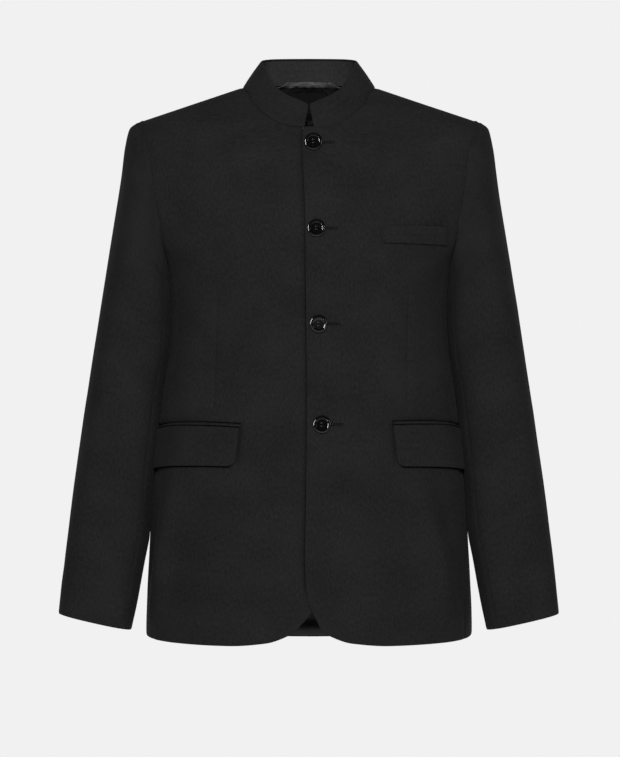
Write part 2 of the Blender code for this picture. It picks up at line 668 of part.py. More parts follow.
def button_seat(x, z):
    """Where a button's back lies on the over front, and how it is turned."""
    turn = turn_at_x(x, z)
    point = body(turn, z)
    normal = form_normals(body, np.asarray(turn, float), np.asarray(z, float))
    seat = point + normal * (LAP + BUTTON_LIFT)
    return Vector(seat), Vector(normal).to_track_quat("Z", "Y").to_euler()


def collar_hook(finish):
    """A flat hook: a J of sheet metal seen from above, as high as it is wide."""
    back = HOOK_Y + HOOK_PLATE
    middle = back + HOOK_BEND
    bend = [math.radians(270 - 15 * i) for i in range(13)]
    x0, x1 = HOOK_X
    outline = [(x1, HOOK_Y)]
    outline += [
        (x0 + (HOOK_BEND + HOOK_PLATE) * math.cos(a), middle + (HOOK_BEND + HOOK_PLATE) * math.sin(a))
        for a in bend
    ]
    tongue = x0 + HOOK_TONGUE
    outline += [(tongue, middle + HOOK_BEND + HOOK_PLATE), (tongue, middle + HOOK_BEND)]
    outline += [
        (x0 + HOOK_BEND * math.cos(a), middle + HOOK_BEND * math.sin(a)) for a in reversed(bend)
    ]
    outline.append((x1, back))
    curve = bpy.data.curves.new("collar_hook", "CURVE")
    curve.dimensions = "2D"
    curve.fill_mode = "BOTH"
    curve.extrude = (HOOK_Z[1] - HOOK_Z[0]) / 2
    line = curve.splines.new("POLY")
    line.points.add(len(outline) - 1)
    for point, (x, y) in zip(line.points, outline):
        point.co = (x, y, 0, 1)
    line.use_cyclic_u = True
    curve.materials.append(finish)
    made = bpy.data.objects.new("collar_hook", curve)
    made.location.z = sum(HOOK_Z) / 2
    weld = made.modifiers.new("weld", "WELD")
    weld.merge_threshold = MERGE
    jacket.objects.link(made)


def collar_eye(finish):
    """A loop of wire whose near side stands in the hook's bend."""
    corner, middle = EYE_CORNER, HOOK_Y + HOOK_PLATE + HOOK_BEND
    low, high = HOOK_Z[0] - EYE_OVER, HOOK_Z[1] + EYE_OVER
    near, far = HOOK_X[0], HOOK_X[0] - EYE_REACH
    corners = (
        (near - corner, high - corner, 90), (far + corner, high - corner, 180),
        (far + corner, low + corner, 270), (near - corner, low + corner, 360),
    )
    curve = bpy.data.curves.new("collar_eye", "CURVE")
    curve.dimensions = "3D"
    curve.bevel_depth = EYE_WIRE
    curve.bevel_resolution = 2
    line = curve.splines.new("POLY")
    path = []
    for x, z, end in corners:
        for angle in (end - 90, end - 60, end - 30, end):
            path.append((x + corner * math.cos(math.radians(angle)),
                         z + corner * math.sin(math.radians(angle))))
    line.points.add(len(path) - 1)
    for point, (x, z) in zip(line.points, path):
        point.co = (x, middle, z, 1)
    line.use_cyclic_u = True
    curve.materials.append(finish)
    jacket.objects.link(bpy.data.objects.new("collar_eye", curve))


def finish_of(name, colour, roughness, metallic=0.0):
    material = bpy.data.materials.new(name)
    material.use_nodes = True
    shader = material.node_tree.nodes["Principled BSDF"]
    shader.inputs["Base Color"].default_value = (*colour, 1)
    shader.inputs["Roughness"].default_value = roughness
    shader.inputs["Metallic"].default_value = metallic
    return material


# Building

for old in list(bpy.data.objects):
    bpy.data.objects.remove(old)
jacket = bpy.data.collections.new("stand_collar_jacket")
cutters = bpy.data.collections.new("cutters")
bpy.context.scene.collection.children.link(jacket)
bpy.context.scene.collection.children.link(cutters)

wool = finish_of("black_wool", (0.016, 0.016, 0.017), 0.85)
satin = finish_of("black_satin", (0.020, 0.020, 0.021), 0.40)
resin = finish_of("black_resin", (0.008, 0.008, 0.008), 0.15)
steel = finish_of("blackened_steel", (0.090, 0.090, 0.090), 0.35, 1.0)

panel("front_left", front_places(OVER_EDGE), 1, ("outer", "top"), wool, LAP)
panel("front_right", front_places(UNDER_EDGE), -1, ("outer", "top"), wool, -LAP)
back = back_places()
for side, word in ((1, "left"), (-1, "right")):
    panel("side_" + word, side_places(), side, ("inner", "outer"), wool)
    panel("back_" + word, back, side, ("inner", "outer"), wool)
    first, last = -BACK_SLEEVE_SEAM, FRONT_SLEEVE_SEAM
    sleeve_piece("sleeve_%s_top" % word, first, last, side, wool)
    sleeve_piece("sleeve_%s_under" % word, last, ARMHOLE_STEPS + first, side, wool)

collar_strip("collar", 0.0, CLOTH, 0.0, wool)
collar_strip("collar_facing", -(CLOTH + SEAM), FACING, FACING_DROP, wool)
for row in FLAPS:
    pocket(row, wool)
breast_welt(wool)

back_lining(back, satin)
lining_inside = -(CLOTH + IN_CLOTH + LINING + ON_LINING)
inside_strip("hanger_tape", TAPE_TURN, TAPE_Z, lining_inside, satin)
inside_strip("neck_label", LABEL_TURN, LABEL_Z, lining_inside, satin)

for number, (x, z) in enumerate(BUTTON_PLACES, start=1):
    button("button_%d" % number, x, z, resin)
collar_hook(steel)
collar_eye(steel)
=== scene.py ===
# %% [markdown]
# # A suit jacket with a stand collar
#
# The jacket is black worsted wool, cut and sewn from panels, filled out as if someone
# wore it. It could be sculpted as one skin, but a tailor's jacket reads as panels that
# meet in seams. So each panel is a fine grid, laid on one smooth form of the body, with
# its folds pressed into it, and it gets its wall at the end.

# %% The imported model
import json
import math
from collections import namedtuple

import bmesh
import bpy
import numpy as np
from mathutils import Matrix, Vector

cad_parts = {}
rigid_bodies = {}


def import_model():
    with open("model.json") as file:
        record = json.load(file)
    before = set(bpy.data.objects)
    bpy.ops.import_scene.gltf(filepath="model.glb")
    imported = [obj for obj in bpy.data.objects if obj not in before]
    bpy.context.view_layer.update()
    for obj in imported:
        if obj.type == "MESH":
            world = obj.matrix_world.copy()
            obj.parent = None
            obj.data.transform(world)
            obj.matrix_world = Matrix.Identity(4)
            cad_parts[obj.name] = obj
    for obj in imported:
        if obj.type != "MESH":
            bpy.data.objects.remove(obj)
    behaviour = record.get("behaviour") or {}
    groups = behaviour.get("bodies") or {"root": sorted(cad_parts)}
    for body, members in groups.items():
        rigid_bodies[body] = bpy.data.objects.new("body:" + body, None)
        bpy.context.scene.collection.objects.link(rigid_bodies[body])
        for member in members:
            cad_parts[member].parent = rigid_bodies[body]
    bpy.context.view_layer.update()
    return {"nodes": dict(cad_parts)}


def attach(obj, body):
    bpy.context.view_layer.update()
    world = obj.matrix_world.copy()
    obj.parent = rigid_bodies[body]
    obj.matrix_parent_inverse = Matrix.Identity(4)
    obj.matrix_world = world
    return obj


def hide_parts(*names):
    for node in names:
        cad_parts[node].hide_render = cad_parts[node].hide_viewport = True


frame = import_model()

# %% [markdown]
# ## Sizes
#
# Everything is in metres, with +Z up, the front at -Y and the wearer's left at +X. The
# tables are those of the solid model, because the fine cloth has to lie on the same form.

# %% Walls and gaps
CLOTH = 0.0020          # wall of the body, sleeves and outer collar
LINING = 0.0010
FACING = 0.0012
FLAP = 0.0018
SEAM = 0.00005          # each of two sewn edges presses this far into the other
ON_CLOTH = 0.0009       # clearance under a piece that lies on a panel
IN_CLOTH = 0.0007       # clearance between the back and its lining
ON_LINING = 0.0010
LAP = 0.0015            # how far the fronts part, out and in, where one laps the other
LAP_FULL, LAP_GONE = 0.030, 0.075
DEGREE = math.pi / 180

# %% The body's form
def table(columns, *rows):
    """Rows of values that can be read by the names of their columns."""
    Row = namedtuple("Row", columns)
    return tuple(Row(*row) for row in rows)


BODY = table(
    "z side front back square",
    (-0.760, 0.2140, 0.1190, 0.1250, 2.40),
    (-0.709, 0.2146, 0.1195, 0.1240, 2.40),
    (-0.669, 0.2135, 0.1205, 0.1230, 2.40),
    (-0.610, 0.2104, 0.1215, 0.1210, 2.40),
    (-0.525, 0.2060, 0.1215, 0.1165, 2.40),
    (-0.465, 0.2005, 0.1200, 0.1110, 2.40),
    (-0.400, 0.1932, 0.1170, 0.1040, 2.40),
    (-0.340, 0.1835, 0.1150, 0.1000, 2.40),
    (-0.300, 0.1822, 0.1170, 0.1040, 2.40),
    (-0.265, 0.1850, 0.1200, 0.1110, 2.40),
    (-0.235, 0.1910, 0.1210, 0.1150, 2.40),
    (-0.203, 0.2123, 0.1180, 0.1170, 2.40),
    (-0.152, 0.2413, 0.1085, 0.1150, 2.40),
    (-0.106, 0.2590, 0.0955, 0.1065, 2.40),
    (-0.085, 0.2560, 0.0880, 0.1000, 2.38),
    (-0.070, 0.2500, 0.0820, 0.0950, 2.36),
    (-0.060, 0.2440, 0.0755, 0.0905, 2.34),
    (-0.050, 0.2348, 0.0695, 0.0860, 2.33),
    (-0.044, 0.2171, 0.0665, 0.0835, 2.32),
    (-0.029, 0.1731, 0.0580, 0.0745, 2.30),
    (-0.008, 0.1114, 0.0440, 0.0610, 2.30),
    (0.001, 0.0849, 0.0370, 0.0550, 2.30),
    (0.020, 0.0291, 0.0250, 0.0410, 2.30),
)


def smooth(table, column, at):
    """A cubic that never overshoots, through one named column, read by the first."""
    known = np.array([row[0] for row in table], dtype=float)
    value = np.array([getattr(row, column) for row in table], dtype=float)
    at = np.clip(at, known[0], known[-1])
    gap = np.diff(known)
    slope = np.diff(value) / gap
    same_way = slope[:-1] * slope[1:] > 0
    total = np.where(same_way, slope[:-1] + slope[1:], 1.0)
    bend = np.where(same_way, 2 * slope[:-1] * slope[1:] / total, 0.0)
    tangent = np.concatenate(([slope[0]], bend, [slope[-1]]))
    cell = np.clip(np.searchsorted(known, at, side="right") - 1, 0, len(gap) - 1)
    u = (at - known[cell]) / gap[cell]
    rise = u * u * (3 - 2 * u)
    return (
        value[cell] * (1 - rise) + value[cell + 1] * rise
        + gap[cell] * u * (1 - u) * ((1 - u) * tangent[cell] - u * tangent[cell + 1])
    )


def fade(value, full, gone):
    """1 up to full, 0 past gone, and a smooth step between them."""
    u = np.clip((value - full) / (gone - full), 0, 1)
    return 1 - u * u * (3 - 2 * u)


def reach_of(s, c, square):
    """How far a squared circle reaches towards a turn with that sine and cosine."""
    return (np.abs(s) ** square + np.abs(c) ** square) ** (-1 / square)


def body(turn, z):
    """Outer side of the body at a turn (0 at the front, 90 at the side) and a height."""
    turn, z = np.broadcast_arrays(np.asarray(turn, float), np.asarray(z, float))
    s, c = np.sin(turn * DEGREE), np.cos(turn * DEGREE)
    depth = np.where(c > 0, smooth(BODY, "front", z), smooth(BODY, "back", z))
    reach = reach_of(s, c, smooth(BODY, "square", z))
    return np.stack([smooth(BODY, "side", z) * s * reach, -depth * c * reach, z], axis=-1)


def turn_from(part, square):
    """Turn in degrees whose share of the half width is part, on a ring that square."""
    share = np.clip(np.abs(part), 0, 1) ** square
    return np.arctan2(share ** (1 / square), np.maximum(1 - share, 0) ** (1 / square)) / DEGREE


def turn_at_x(x, z):
    return np.sign(x) * turn_from(x / smooth(BODY, "side", z), smooth(BODY, "square", z))


def turn_at_depth(depth, z, column):
    """Turn at which the form lies depth before or behind the side line."""
    to_side = 90 - turn_from(depth / smooth(BODY, column, z), smooth(BODY, "square", z))
    return to_side if column == "front" else 180 - to_side


def unit(vectors):
    return vectors / np.linalg.norm(vectors, axis=-1, keepdims=True)


TURN_BIT, Z_BIT = 0.05, 0.0002  # steps that measure a slope, in degrees and metres


def slopes(turn, z):
    """How the form's surface moves for each degree and for each metre of height."""
    across = body(turn + TURN_BIT, z) - body(turn - TURN_BIT, z)
    up = body(turn, z + Z_BIT) - body(turn, z - Z_BIT)
    return across / (2 * TURN_BIT), up / (2 * Z_BIT)


def on_form(turn, z):
    """Points of the form, and its unit normals there."""
    return body(turn, z), unit(np.cross(*slopes(turn, z)))


def raised(point, normal, lift):
    return point + normal * np.asarray(lift)[..., None]


waist = body(np.arange(0, 360, 5.0), -0.34)
around_waist = np.linalg.norm(waist - np.roll(waist, 1, axis=0), axis=1).sum()
print(f"around the waist {around_waist:.3f} m")

# %% [markdown]
# ## Cut edges
#
# The hem, the front edges, the seams, the armholes and the neck are curves on the form.
# Each is a short table, read by a smooth curve, so it can be sampled as finely as needed.

# %% Hem, front edges, side seams and neck
HEM = table(
    "turn z",
    (0.0, -0.6930), (4.2, -0.7060), (7.6, -0.7145), (14.7, -0.7234),
    (27.4, -0.7272), (50.0, -0.7255), (60.0, -0.7240), (90.0, -0.7195),
    (135.0, -0.7290), (180.0, -0.7345), (225.0, -0.7290), (270.0, -0.7195),
)
SIDE_HEM_Z, BACK_HEM_Z = HEM[7].z, HEM[9].z
HEM_CORNER = 4.2

OVER_EDGE = table(
    "z x",
    (-0.7060, 0.0157), (-0.6863, 0.0064), (-0.6760, 0.0013),
    (-0.6671, -0.0013), (-0.6543, -0.0038), (-0.6158, -0.0051),
    (-0.5390, -0.0038), (-0.4111, -0.0026), (-0.2825, -0.0038),
    (-0.1665, -0.0051), (-0.1012, -0.0078), (-0.0711, -0.0088),
    (-0.0570, -0.0060),
)
UNDER_EDGE = table(
    "z x",
    (-0.7060, 0.0157), (-0.6840, -0.0026), (-0.6650, -0.0115),
    (-0.6400, -0.0205), (-0.6000, -0.0255), (-0.5500, -0.0260),
    (-0.3000, -0.0260), (-0.0570, -0.0180),
)

SIDE_SEAMS = table(
    "z front back",
    (-0.740, 0.0500, 0.0740), (-0.450, 0.0480, 0.0660),
    (-0.300, 0.0510, 0.0600), (-0.2134, 0.0573, 0.0499),
)

NECK_SIDE_Z = 0.0010
NECK = table(
    "turn seam_z top_x top_y top_z",
    (1.5, -0.0568, 0.0004, -0.0600, -0.0268),
    (4.6, -0.0562, 0.0098, -0.0598, -0.0218),
    (8.6, -0.0523, 0.0225, -0.0588, -0.0168),
    (13.3, -0.0439, 0.0335, -0.0560, -0.0110),
    (22.0, -0.0291, 0.0450, -0.0485, -0.0003),
    (42.7, -0.0080, 0.0570, -0.0310, 0.0218),
    (66.0, -0.0012, 0.0618, -0.0140, 0.0322),
    (90.0, NECK_SIDE_Z, 0.0630, 0.0020, 0.0362),
    (112.0, 0.0055, 0.0595, 0.0170, 0.0388),
    (135.0, 0.0095, 0.0465, 0.0300, 0.0412),
    (158.0, 0.0115, 0.0250, 0.0378, 0.0424),
    (180.0, 0.0120, 0.0000, 0.0400, 0.0428),
)
FRONT_NECK_TURNS = (1.5, 4.6, 8.6, 13.3, 19.0, 26.0, 34.5, 44.0, 55.0, 66.5, 78.0, 90.0)
BACK_NECK_TURNS = (90.0, 101.0, 112.0, 124.0, 136.0, 147.0, 158.0, 169.0, 180.0)

# %% Armholes
SHOULDER_Z = -0.0460
ARMHOLE_BOTTOM = -0.2350
ARMHOLE_FRONT, ARMHOLE_BACK, ARMHOLE_FORWARD = 0.0685, 0.0700, 0.0050
ARMHOLE_SQUARE_TOP, ARMHOLE_SQUARE_BOTTOM = 2.2, 2.7
UNDERARM = math.radians(135)
CAP_GAP, UNDERARM_GAP = 0.0003, 0.0008


def pairs(turn, z):
    return np.stack(np.broadcast_arrays(np.asarray(turn, float), np.asarray(z, float)), axis=-1)


def armhole_place(around):
    """(turn, height) of the armhole at an angle around it, 0 at the shoulder point."""
    around = np.asarray(around, float)
    s, c = np.sin(around), np.cos(around)
    square = np.where(c > 0, ARMHOLE_SQUARE_TOP, ARMHOLE_SQUARE_BOTTOM)
    share = c * reach_of(s, c, square)
    z = (SHOULDER_Z + ARMHOLE_BOTTOM) / 2 + (SHOULDER_Z - ARMHOLE_BOTTOM) / 2 * share
    width = np.maximum(1 - np.abs(share) ** square, 0) ** (1 / square)
    forward = ARMHOLE_FORWARD * (1 - share) / 2
    front, back = ARMHOLE_FRONT * width + forward, ARMHOLE_BACK * width - forward
    before = np.where(s > 0, front, -back)
    turn = np.where(
        before > 0,
        turn_at_depth(np.maximum(before, 0), z, "front"),
        turn_at_depth(np.maximum(-before, 0), z, "back"),
    )
    return pairs(turn, z)


def seam_line(column, z):
    return pairs(turn_at_depth(smooth(SIDE_SEAMS, column, z), z, column), z)


def seam_bottom(column):
    """(turn, height) where a side seam meets the hem."""
    z = SIDE_HEM_Z
    for _ in range(3):
        turn = seam_line(column, z)[0]
        z = float(smooth(HEM, "z", turn))
    return turn, z


print("side seams meet the hem at", [np.round(seam_bottom(c), 3) for c in ("front", "back")])

# %% [markdown]
# ## Sampling a cut edge
#
# Cloth needs small facets near its edges, where it rolls over and dips into the seam, and
# can have larger ones in the middle. So an edge is sampled by length, finer at its ends.

# %% Even sampling
STEP = 0.0050           # facet of the cloth away from its edges
FINE_STEP = 0.0035      # and of the small pieces
EDGE_STEPS = (0.0, 0.0007, 0.0016, 0.0028, 0.0045, 0.0066, 0.0092, 0.0125)


def shares(length, step=STEP, fine=(True, True)):
    """Places from 0 to 1 along an edge of that length, closer together at fine ends."""
    low = np.array(EDGE_STEPS if fine[0] else (0.0,))
    high = length - np.array(EDGE_STEPS if fine[1] else (0.0,))[::-1]
    count = max(int(round((high[0] - low[-1]) / step)), 1)
    middle = np.linspace(low[-1], high[0], count + 1)
    return np.concatenate((low[:-1], middle, high[1:])) / length


def along(points):
    """Length along a row of points, from 0."""
    steps = np.linalg.norm(np.diff(points, axis=0), axis=-1)
    return np.concatenate(([0.0], np.cumsum(steps)))


def resample(places, step=STEP, fine=(True, True)):
    """A (turn, height) line cut anew into even steps on the body's form."""
    far = along(body(places[:, 0], places[:, 1]))
    at = shares(far[-1], step, fine) * far[-1]
    return np.stack([np.interp(at, far, places[:, i]) for i in (0, 1)], axis=-1)


def side_seam(column, fine=(True, True)):
    """A side seam from the hem to the armhole, in even steps."""
    z = np.linspace(seam_bottom(column)[1], armhole_place(UNDERARM)[1], 300)
    return resample(seam_line(column, z), fine=fine)


def outer_edge(column):
    """Side seam, armhole and shoulder seam of a front or back, from the hem up."""
    way = 1 if column == "front" else -1
    armhole = armhole_place(way * np.linspace(UNDERARM, 0.0, 200))
    armhole[-1] = (90, SHOULDER_Z)
    shoulder = pairs(90, np.linspace(SHOULDER_Z, NECK_SIDE_Z, 60))
    return np.concatenate((
        side_seam(column, (True, False)),
        resample(armhole, fine=(False, False))[1:],
        resample(shoulder, fine=(False, True))[1:],
    ))


def climb(outer):
    """Share of the way up of each row of a panel, partly by height, partly by length."""
    up = (outer[:, 1] - outer[0, 1]) / (outer[-1, 1] - outer[0, 1])
    far = along(body(outer[:, 0], outer[:, 1]))
    return 0.75 * up + 0.25 * far / far[-1]


def coons(bottom, top, inner, outer, up, out):
    """Fill four curves of (turn, height) pairs; rows go up and columns go outwards."""
    up, out = up[:, None, None], out[None, :, None]
    sides = (1 - out) * inner[:, None] + out * outer[:, None]
    ends = (1 - up) * bottom[None] + up * top[None]
    corners = (1 - up) * ((1 - out) * bottom[0] + out * bottom[-1])
    corners = corners + up * ((1 - out) * top[0] + out * top[-1])
    return sides + ends - corners


PATCH_PASSES, PATCH_SHARE = 10, 0.7     # how often, and how much of the way, a point moves
TURN_MOST, Z_MOST = 4, 0.01             # the most that it moves in one pass


def patch(inner, outer, top, up, out):
    """Fill a panel's edges in space, from the hem up, then move each point to the
    nearest one on the form."""
    turns = inner[0, 0] + (outer[0, 0] - inner[0, 0]) * out
    edges = (pairs(turns, smooth(HEM, "z", turns)), top, inner, outer)
    target = coons(*(body(edge[:, 0], edge[:, 1]) for edge in edges), up, out)
    places = coons(*edges, up, out)
    turn, z = places[..., 0], places[..., 1]
    for _ in range(PATCH_PASSES):
        off = target - body(turn, z)
        a, b = slopes(turn, z)
        aa, ab, bb, oa, ob = (
            (p * q).sum(axis=-1) for p, q in ((a, a), (a, b), (b, b), (off, a), (off, b))
        )
        area = aa * bb - ab * ab
        turn = turn + PATCH_SHARE * np.clip((oa * bb - ob * ab) / area, -TURN_MOST, TURN_MOST)
        z = z + PATCH_SHARE * np.clip((ob * aa - oa * ab) / area, -Z_MOST, Z_MOST)
    places = pairs(turn, z)
    places[0], places[-1], places[:, 0], places[:, -1] = edges
    return places


def spaced(values, at):
    """Read a list of turns at shares from 0 to 1 of the way through it."""
    return np.interp(at, np.linspace(0, 1, len(values)), values)


def neck_line(turns, out):
    """Upper edge of a panel, from a list of turns along the neck."""
    turns = spaced(turns, out)
    return pairs(turns, smooth(NECK, "seam_z", turns))


FRONT_WIDTH, BACK_WIDTH, SIDE_WIDTH = 0.270, 0.200, 0.115


def front_places(edge):
    """Grid of a front: hem, neck, front edge, and side seam to shoulder."""
    outer = outer_edge("front")
    up, out = climb(outer), shares(FRONT_WIDTH)
    corner_z = float(smooth(HEM, "z", HEM_CORNER))
    z = corner_z + (NECK[0].seam_z - corner_z) * up
    inner = pairs(turn_at_x(smooth(edge, "x", z), z), z)
    inner[0, 0] = HEM_CORNER
    return patch(inner, outer, neck_line((inner[-1, 0], *FRONT_NECK_TURNS), out), up, out)


def back_places():
    """Grid of a back half: hem, neck, centre back seam, and side seam to shoulder."""
    outer = outer_edge("back")
    up, out = climb(outer), shares(BACK_WIDTH)
    inner = pairs(180, BACK_HEM_Z + (NECK[-1].seam_z - BACK_HEM_Z) * up)
    return patch(inner, outer, neck_line(BACK_NECK_TURNS[::-1], out), up, out)


def side_places():
    """Grid of a side panel: hem, underarm, and the seams to the front and back."""
    edges = [side_seam(column) for column in ("front", "back")]
    at = np.linspace(0, 1, min(len(edge) for edge in edges))
    inner, outer = (
        np.stack([spaced(edge[:, i], at) for i in (0, 1)], axis=-1) for edge in edges
    )
    out = shares(SIDE_WIDTH)
    top = armhole_place(UNDERARM + (2 * math.pi - 2 * UNDERARM) * out)
    return patch(inner, outer, top, climb(outer), out)


print("front grid", front_places(OVER_EDGE).shape[:2], "back grid", back_places().shape[:2])

# %% [markdown]
# ## Folds
#
# Worn cloth is never smooth: it has a few long soft folds where it is pulled, and faint
# unevenness everywhere. A fold is a ridge along a line with a shallower trough beside it.
# Each is one row of a table, placed from the photograph, and a few on the hidden
# sides continue them. Places are in metres: across is the turn times a length for each
# degree, positive on the wearer's left.

# %% Folds of the body
TURN_LENGTH = 0.0029    # metres of cloth in one degree of the body
FOLD = "across along across_end along_end width depth"
BODY_FOLDS = table(
    FOLD,
    # skirt of the right front: a long ridge from under the pocket to the side hem
    (-0.155, -0.480, -0.200, -0.720, 0.016, 0.0052),
    (-0.115, -0.490, -0.150, -0.740, 0.024, -0.0050),
    (-0.050, -0.440, -0.080, -0.720, 0.024, 0.0022),
    # skirt of the left front
    (0.105, -0.480, 0.175, -0.735, 0.016, 0.0050),
    (0.082, -0.510, 0.125, -0.740, 0.022, -0.0040),
    (0.045, -0.460, 0.060, -0.700, 0.024, 0.0018),
    # drag lines from the fastened buttons towards the chest and the waist
    (0.022, -0.190, 0.115, -0.135, 0.010, 0.0007),
    (0.026, -0.318, 0.150, -0.275, 0.014, 0.0010),
    (0.030, -0.446, 0.140, -0.405, 0.014, 0.0010),
    (-0.020, -0.318, -0.150, -0.280, 0.014, -0.0010),
    (-0.015, -0.446, -0.145, -0.400, 0.014, -0.0010),
    (0.020, -0.082, 0.075, -0.130, 0.009, -0.0006),
    # from the shoulders down beside the armholes
    (-0.165, -0.090, -0.190, -0.215, 0.015, -0.0014),
    (0.168, -0.085, 0.192, -0.210, 0.015, -0.0014),
    (-0.075, -0.070, -0.130, -0.150, 0.018, 0.0008),
    (0.080, -0.070, 0.138, -0.150, 0.018, 0.0008),
    # under the arms and at the waist of the sides
    (-0.235, -0.250, -0.225, -0.400, 0.012, 0.0014),
    (0.236, -0.255, 0.222, -0.410, 0.012, 0.0014),
    (-0.265, -0.330, -0.300, -0.480, 0.016, -0.0014),
    (0.268, -0.325, 0.305, -0.470, 0.016, -0.0014),
    # back: shoulder blades, the break at the waist, and the skirt
    (-0.330, -0.110, -0.350, -0.300, 0.020, -0.0016),
    (0.335, -0.115, 0.352, -0.310, 0.020, -0.0016),
    (-0.400, -0.090, -0.390, -0.260, 0.024, 0.0012),
    (0.410, -0.085, 0.395, -0.250, 0.024, 0.0012),
    (-0.340, -0.330, -0.470, -0.352, 0.012, -0.0012),
    (0.345, -0.326, 0.465, -0.345, 0.012, -0.0011),
    (-0.370, -0.362, -0.500, -0.372, 0.011, 0.0009),
    (0.360, -0.358, 0.490, -0.371, 0.011, 0.0009),
    (-0.380, -0.430, -0.350, -0.735, 0.022, 0.0016),
    (0.385, -0.440, 0.352, -0.735, 0.022, 0.0016),
    (-0.440, -0.450, -0.430, -0.740, 0.020, -0.0013),
    (0.446, -0.455, 0.436, -0.740, 0.020, -0.0013),
)


TROUGH_SHARE, TROUGH_AWAY, TROUGH_WIDTH = 0.45, 1.8, 0.9    # away and width in fold widths
LATTICE = 64
WAVES = "height stretch size seed"
BODY_WAVES = table(WAVES, (0.0005, 0.7, 0.045, 3), (0.00018, 0.6, 0.017, 5))


def folds(rows, across, up):
    """How far a table's folds lift the cloth at each place."""
    lift = np.zeros(np.broadcast(across, up).shape)
    for fold in rows:
        way = np.array((fold.across_end - fold.across, fold.along_end - fold.along))
        length = np.hypot(*way)
        x, y = across - fold.across, up - fold.along
        share = np.clip((x * way[0] + y * way[1]) / length ** 2, 0, 1)
        off = (x * way[1] - y * way[0]) / length / fold.width
        trough = np.exp(-((np.abs(off) - TROUGH_AWAY) / TROUGH_WIDTH) ** 2)
        ridge = np.exp(-off ** 2) - TROUGH_SHARE * trough
        lift += fold.depth * np.sin(np.pi * share) ** 1.5 * ridge
    return lift


def unevenness(across, up, size, seed):
    """Smooth random waves, from -1 to 1, whose bumps are about size apart."""
    lattice = np.random.default_rng(seed).uniform(-1, 1, (LATTICE, LATTICE))
    x, y = np.asarray(across) / size, np.asarray(up) / size
    i, j = np.floor(x).astype(int), np.floor(y).astype(int)
    u, v = x - i, y - j
    u, v = u * u * (3 - 2 * u), v * v * (3 - 2 * v)
    low, high = (
        lattice[i % LATTICE, k] * (1 - u) + lattice[(i + 1) % LATTICE, k] * u
        for k in (j % LATTICE, (j + 1) % LATTICE)
    )
    return low * (1 - v) + high * v


def waves(rows, across, up, seed=0):
    """The kinds of unevenness in a table, added up."""
    return sum(
        row.height * unevenness(across, up * row.stretch, row.size, row.seed + seed)
        for row in rows
    )


def relief(turn, z):
    """Folds and unevenness of the body's cloth; turn is negative on the right."""
    across = ((np.asarray(turn) + 180) % 360 - 180) * TURN_LENGTH
    return folds(BODY_FOLDS, across, z) + waves(BODY_WAVES, across, z)


print(len(BODY_FOLDS), "folds on the body")

# %% [markdown]
# ## From a grid to cloth
#
# A panel starts as a flat grid, whose points are then laid on the form. Its map is in
# metres of cloth, so that the weave keeps its size on every panel, and starts at a place of
# its own, as pieces cut from one roll do. Solidify gives the wall, and Bevel rolls the edges.

# %% Cloth from points
ROLL = 0.0005           # radius of a cut edge
CUT_APART = (0.37, 0.23)  # metres between the places on the roll of one piece and the next
made_cloth = {}         # every piece of cloth, by the solid that it stands for


def all_off():
    """Nothing selected: an operator acts on all that is."""
    for other in bpy.context.selected_objects:
        other.select_set(False)


def only(made):
    all_off()
    made.select_set(True)
    bpy.context.view_layer.objects.active = made


def finish_modifiers(made):
    only(made)
    for modifier in list(made.modifiers):
        bpy.ops.object.modifier_apply(modifier=modifier.name)


def measured(points):
    """Metres of cloth to each point of a grid, along its row and up its column."""
    lengths = []
    for axis in (1, 0):
        steps = np.linalg.norm(np.diff(points, axis=axis), axis=-1)
        lengths.append(np.insert(np.cumsum(steps, axis=axis), 0, 0, axis=axis))
    return lengths


def cut_size(points):
    """Flat width, length and area of the cloth in a grid of points."""
    across, up = measured(points)
    a, b = points[1:, 1:] - points[:-1, :-1], points[1:, :-1] - points[:-1, 1:]
    area = np.linalg.norm(np.cross(a, b), axis=-1).sum() / 2
    return float(across.max()), float(up.max()), float(area)


def cloth(name, node, points, normals, thick, finish, roll=ROLL, side=1):
    """A wall of cloth whose outer side is a grid of points, mirrored if side is -1."""
    points, normals = points * (side, 1, 1), normals * (side, 1, 1)
    rows, columns = points.shape[:2]
    all_off()
    bpy.ops.mesh.primitive_grid_add(
        x_subdivisions=columns - 1, y_subdivisions=rows - 1, size=1, calc_uvs=True,
        location=(0, 0, 0),
    )
    made = bpy.context.active_object
    made.name = made.data.name = name
    mesh = made.data
    mesh.vertices.foreach_set("co", points.reshape(-1).astype(np.float32))
    corner = np.empty(len(mesh.loops), dtype=np.int64)
    mesh.loops.foreach_get("vertex_index", corner)
    across, up = measured(points)
    place = np.stack((across - across[:, columns // 2, None], up), axis=-1).reshape(-1, 2)
    place = place + len(bpy.data.objects) * np.array(CUT_APART)
    mesh.uv_layers[0].data.foreach_set("uv", place[corner].reshape(-1).astype(np.float32))
    mesh.update()
    middle = rows // 2 * columns + columns // 2
    if mesh.vertices[middle].normal.dot(Vector(normals.reshape(-1, 3)[middle])) < 0:
        mesh.flip_normals()
    mesh.shade_smooth()
    mesh.materials.append(finish)
    wall = made.modifiers.new("wall", "SOLIDIFY")
    wall.thickness, wall.offset = thick, -1
    rolled = made.modifiers.new("rolled edges", "BEVEL")
    rolled.width, rolled.segments = min(roll, thick * 0.4), 2
    rolled.limit_method, rolled.angle_limit = "ANGLE", math.radians(80)
    finish_modifiers(made)
    made["cut"] = cut_size(points)
    made_cloth[node] = made


def from_edges(points, names, depth, width):
    """How far cloth dips towards the named edges of its grid."""
    across, up = measured(points)
    far = {"inner": across, "outer": across[:, -1:] - across, "bottom": up, "top": up[-1:] - up}
    return depth * sum(np.exp(-(far[name] / width) ** 2) for name in names)


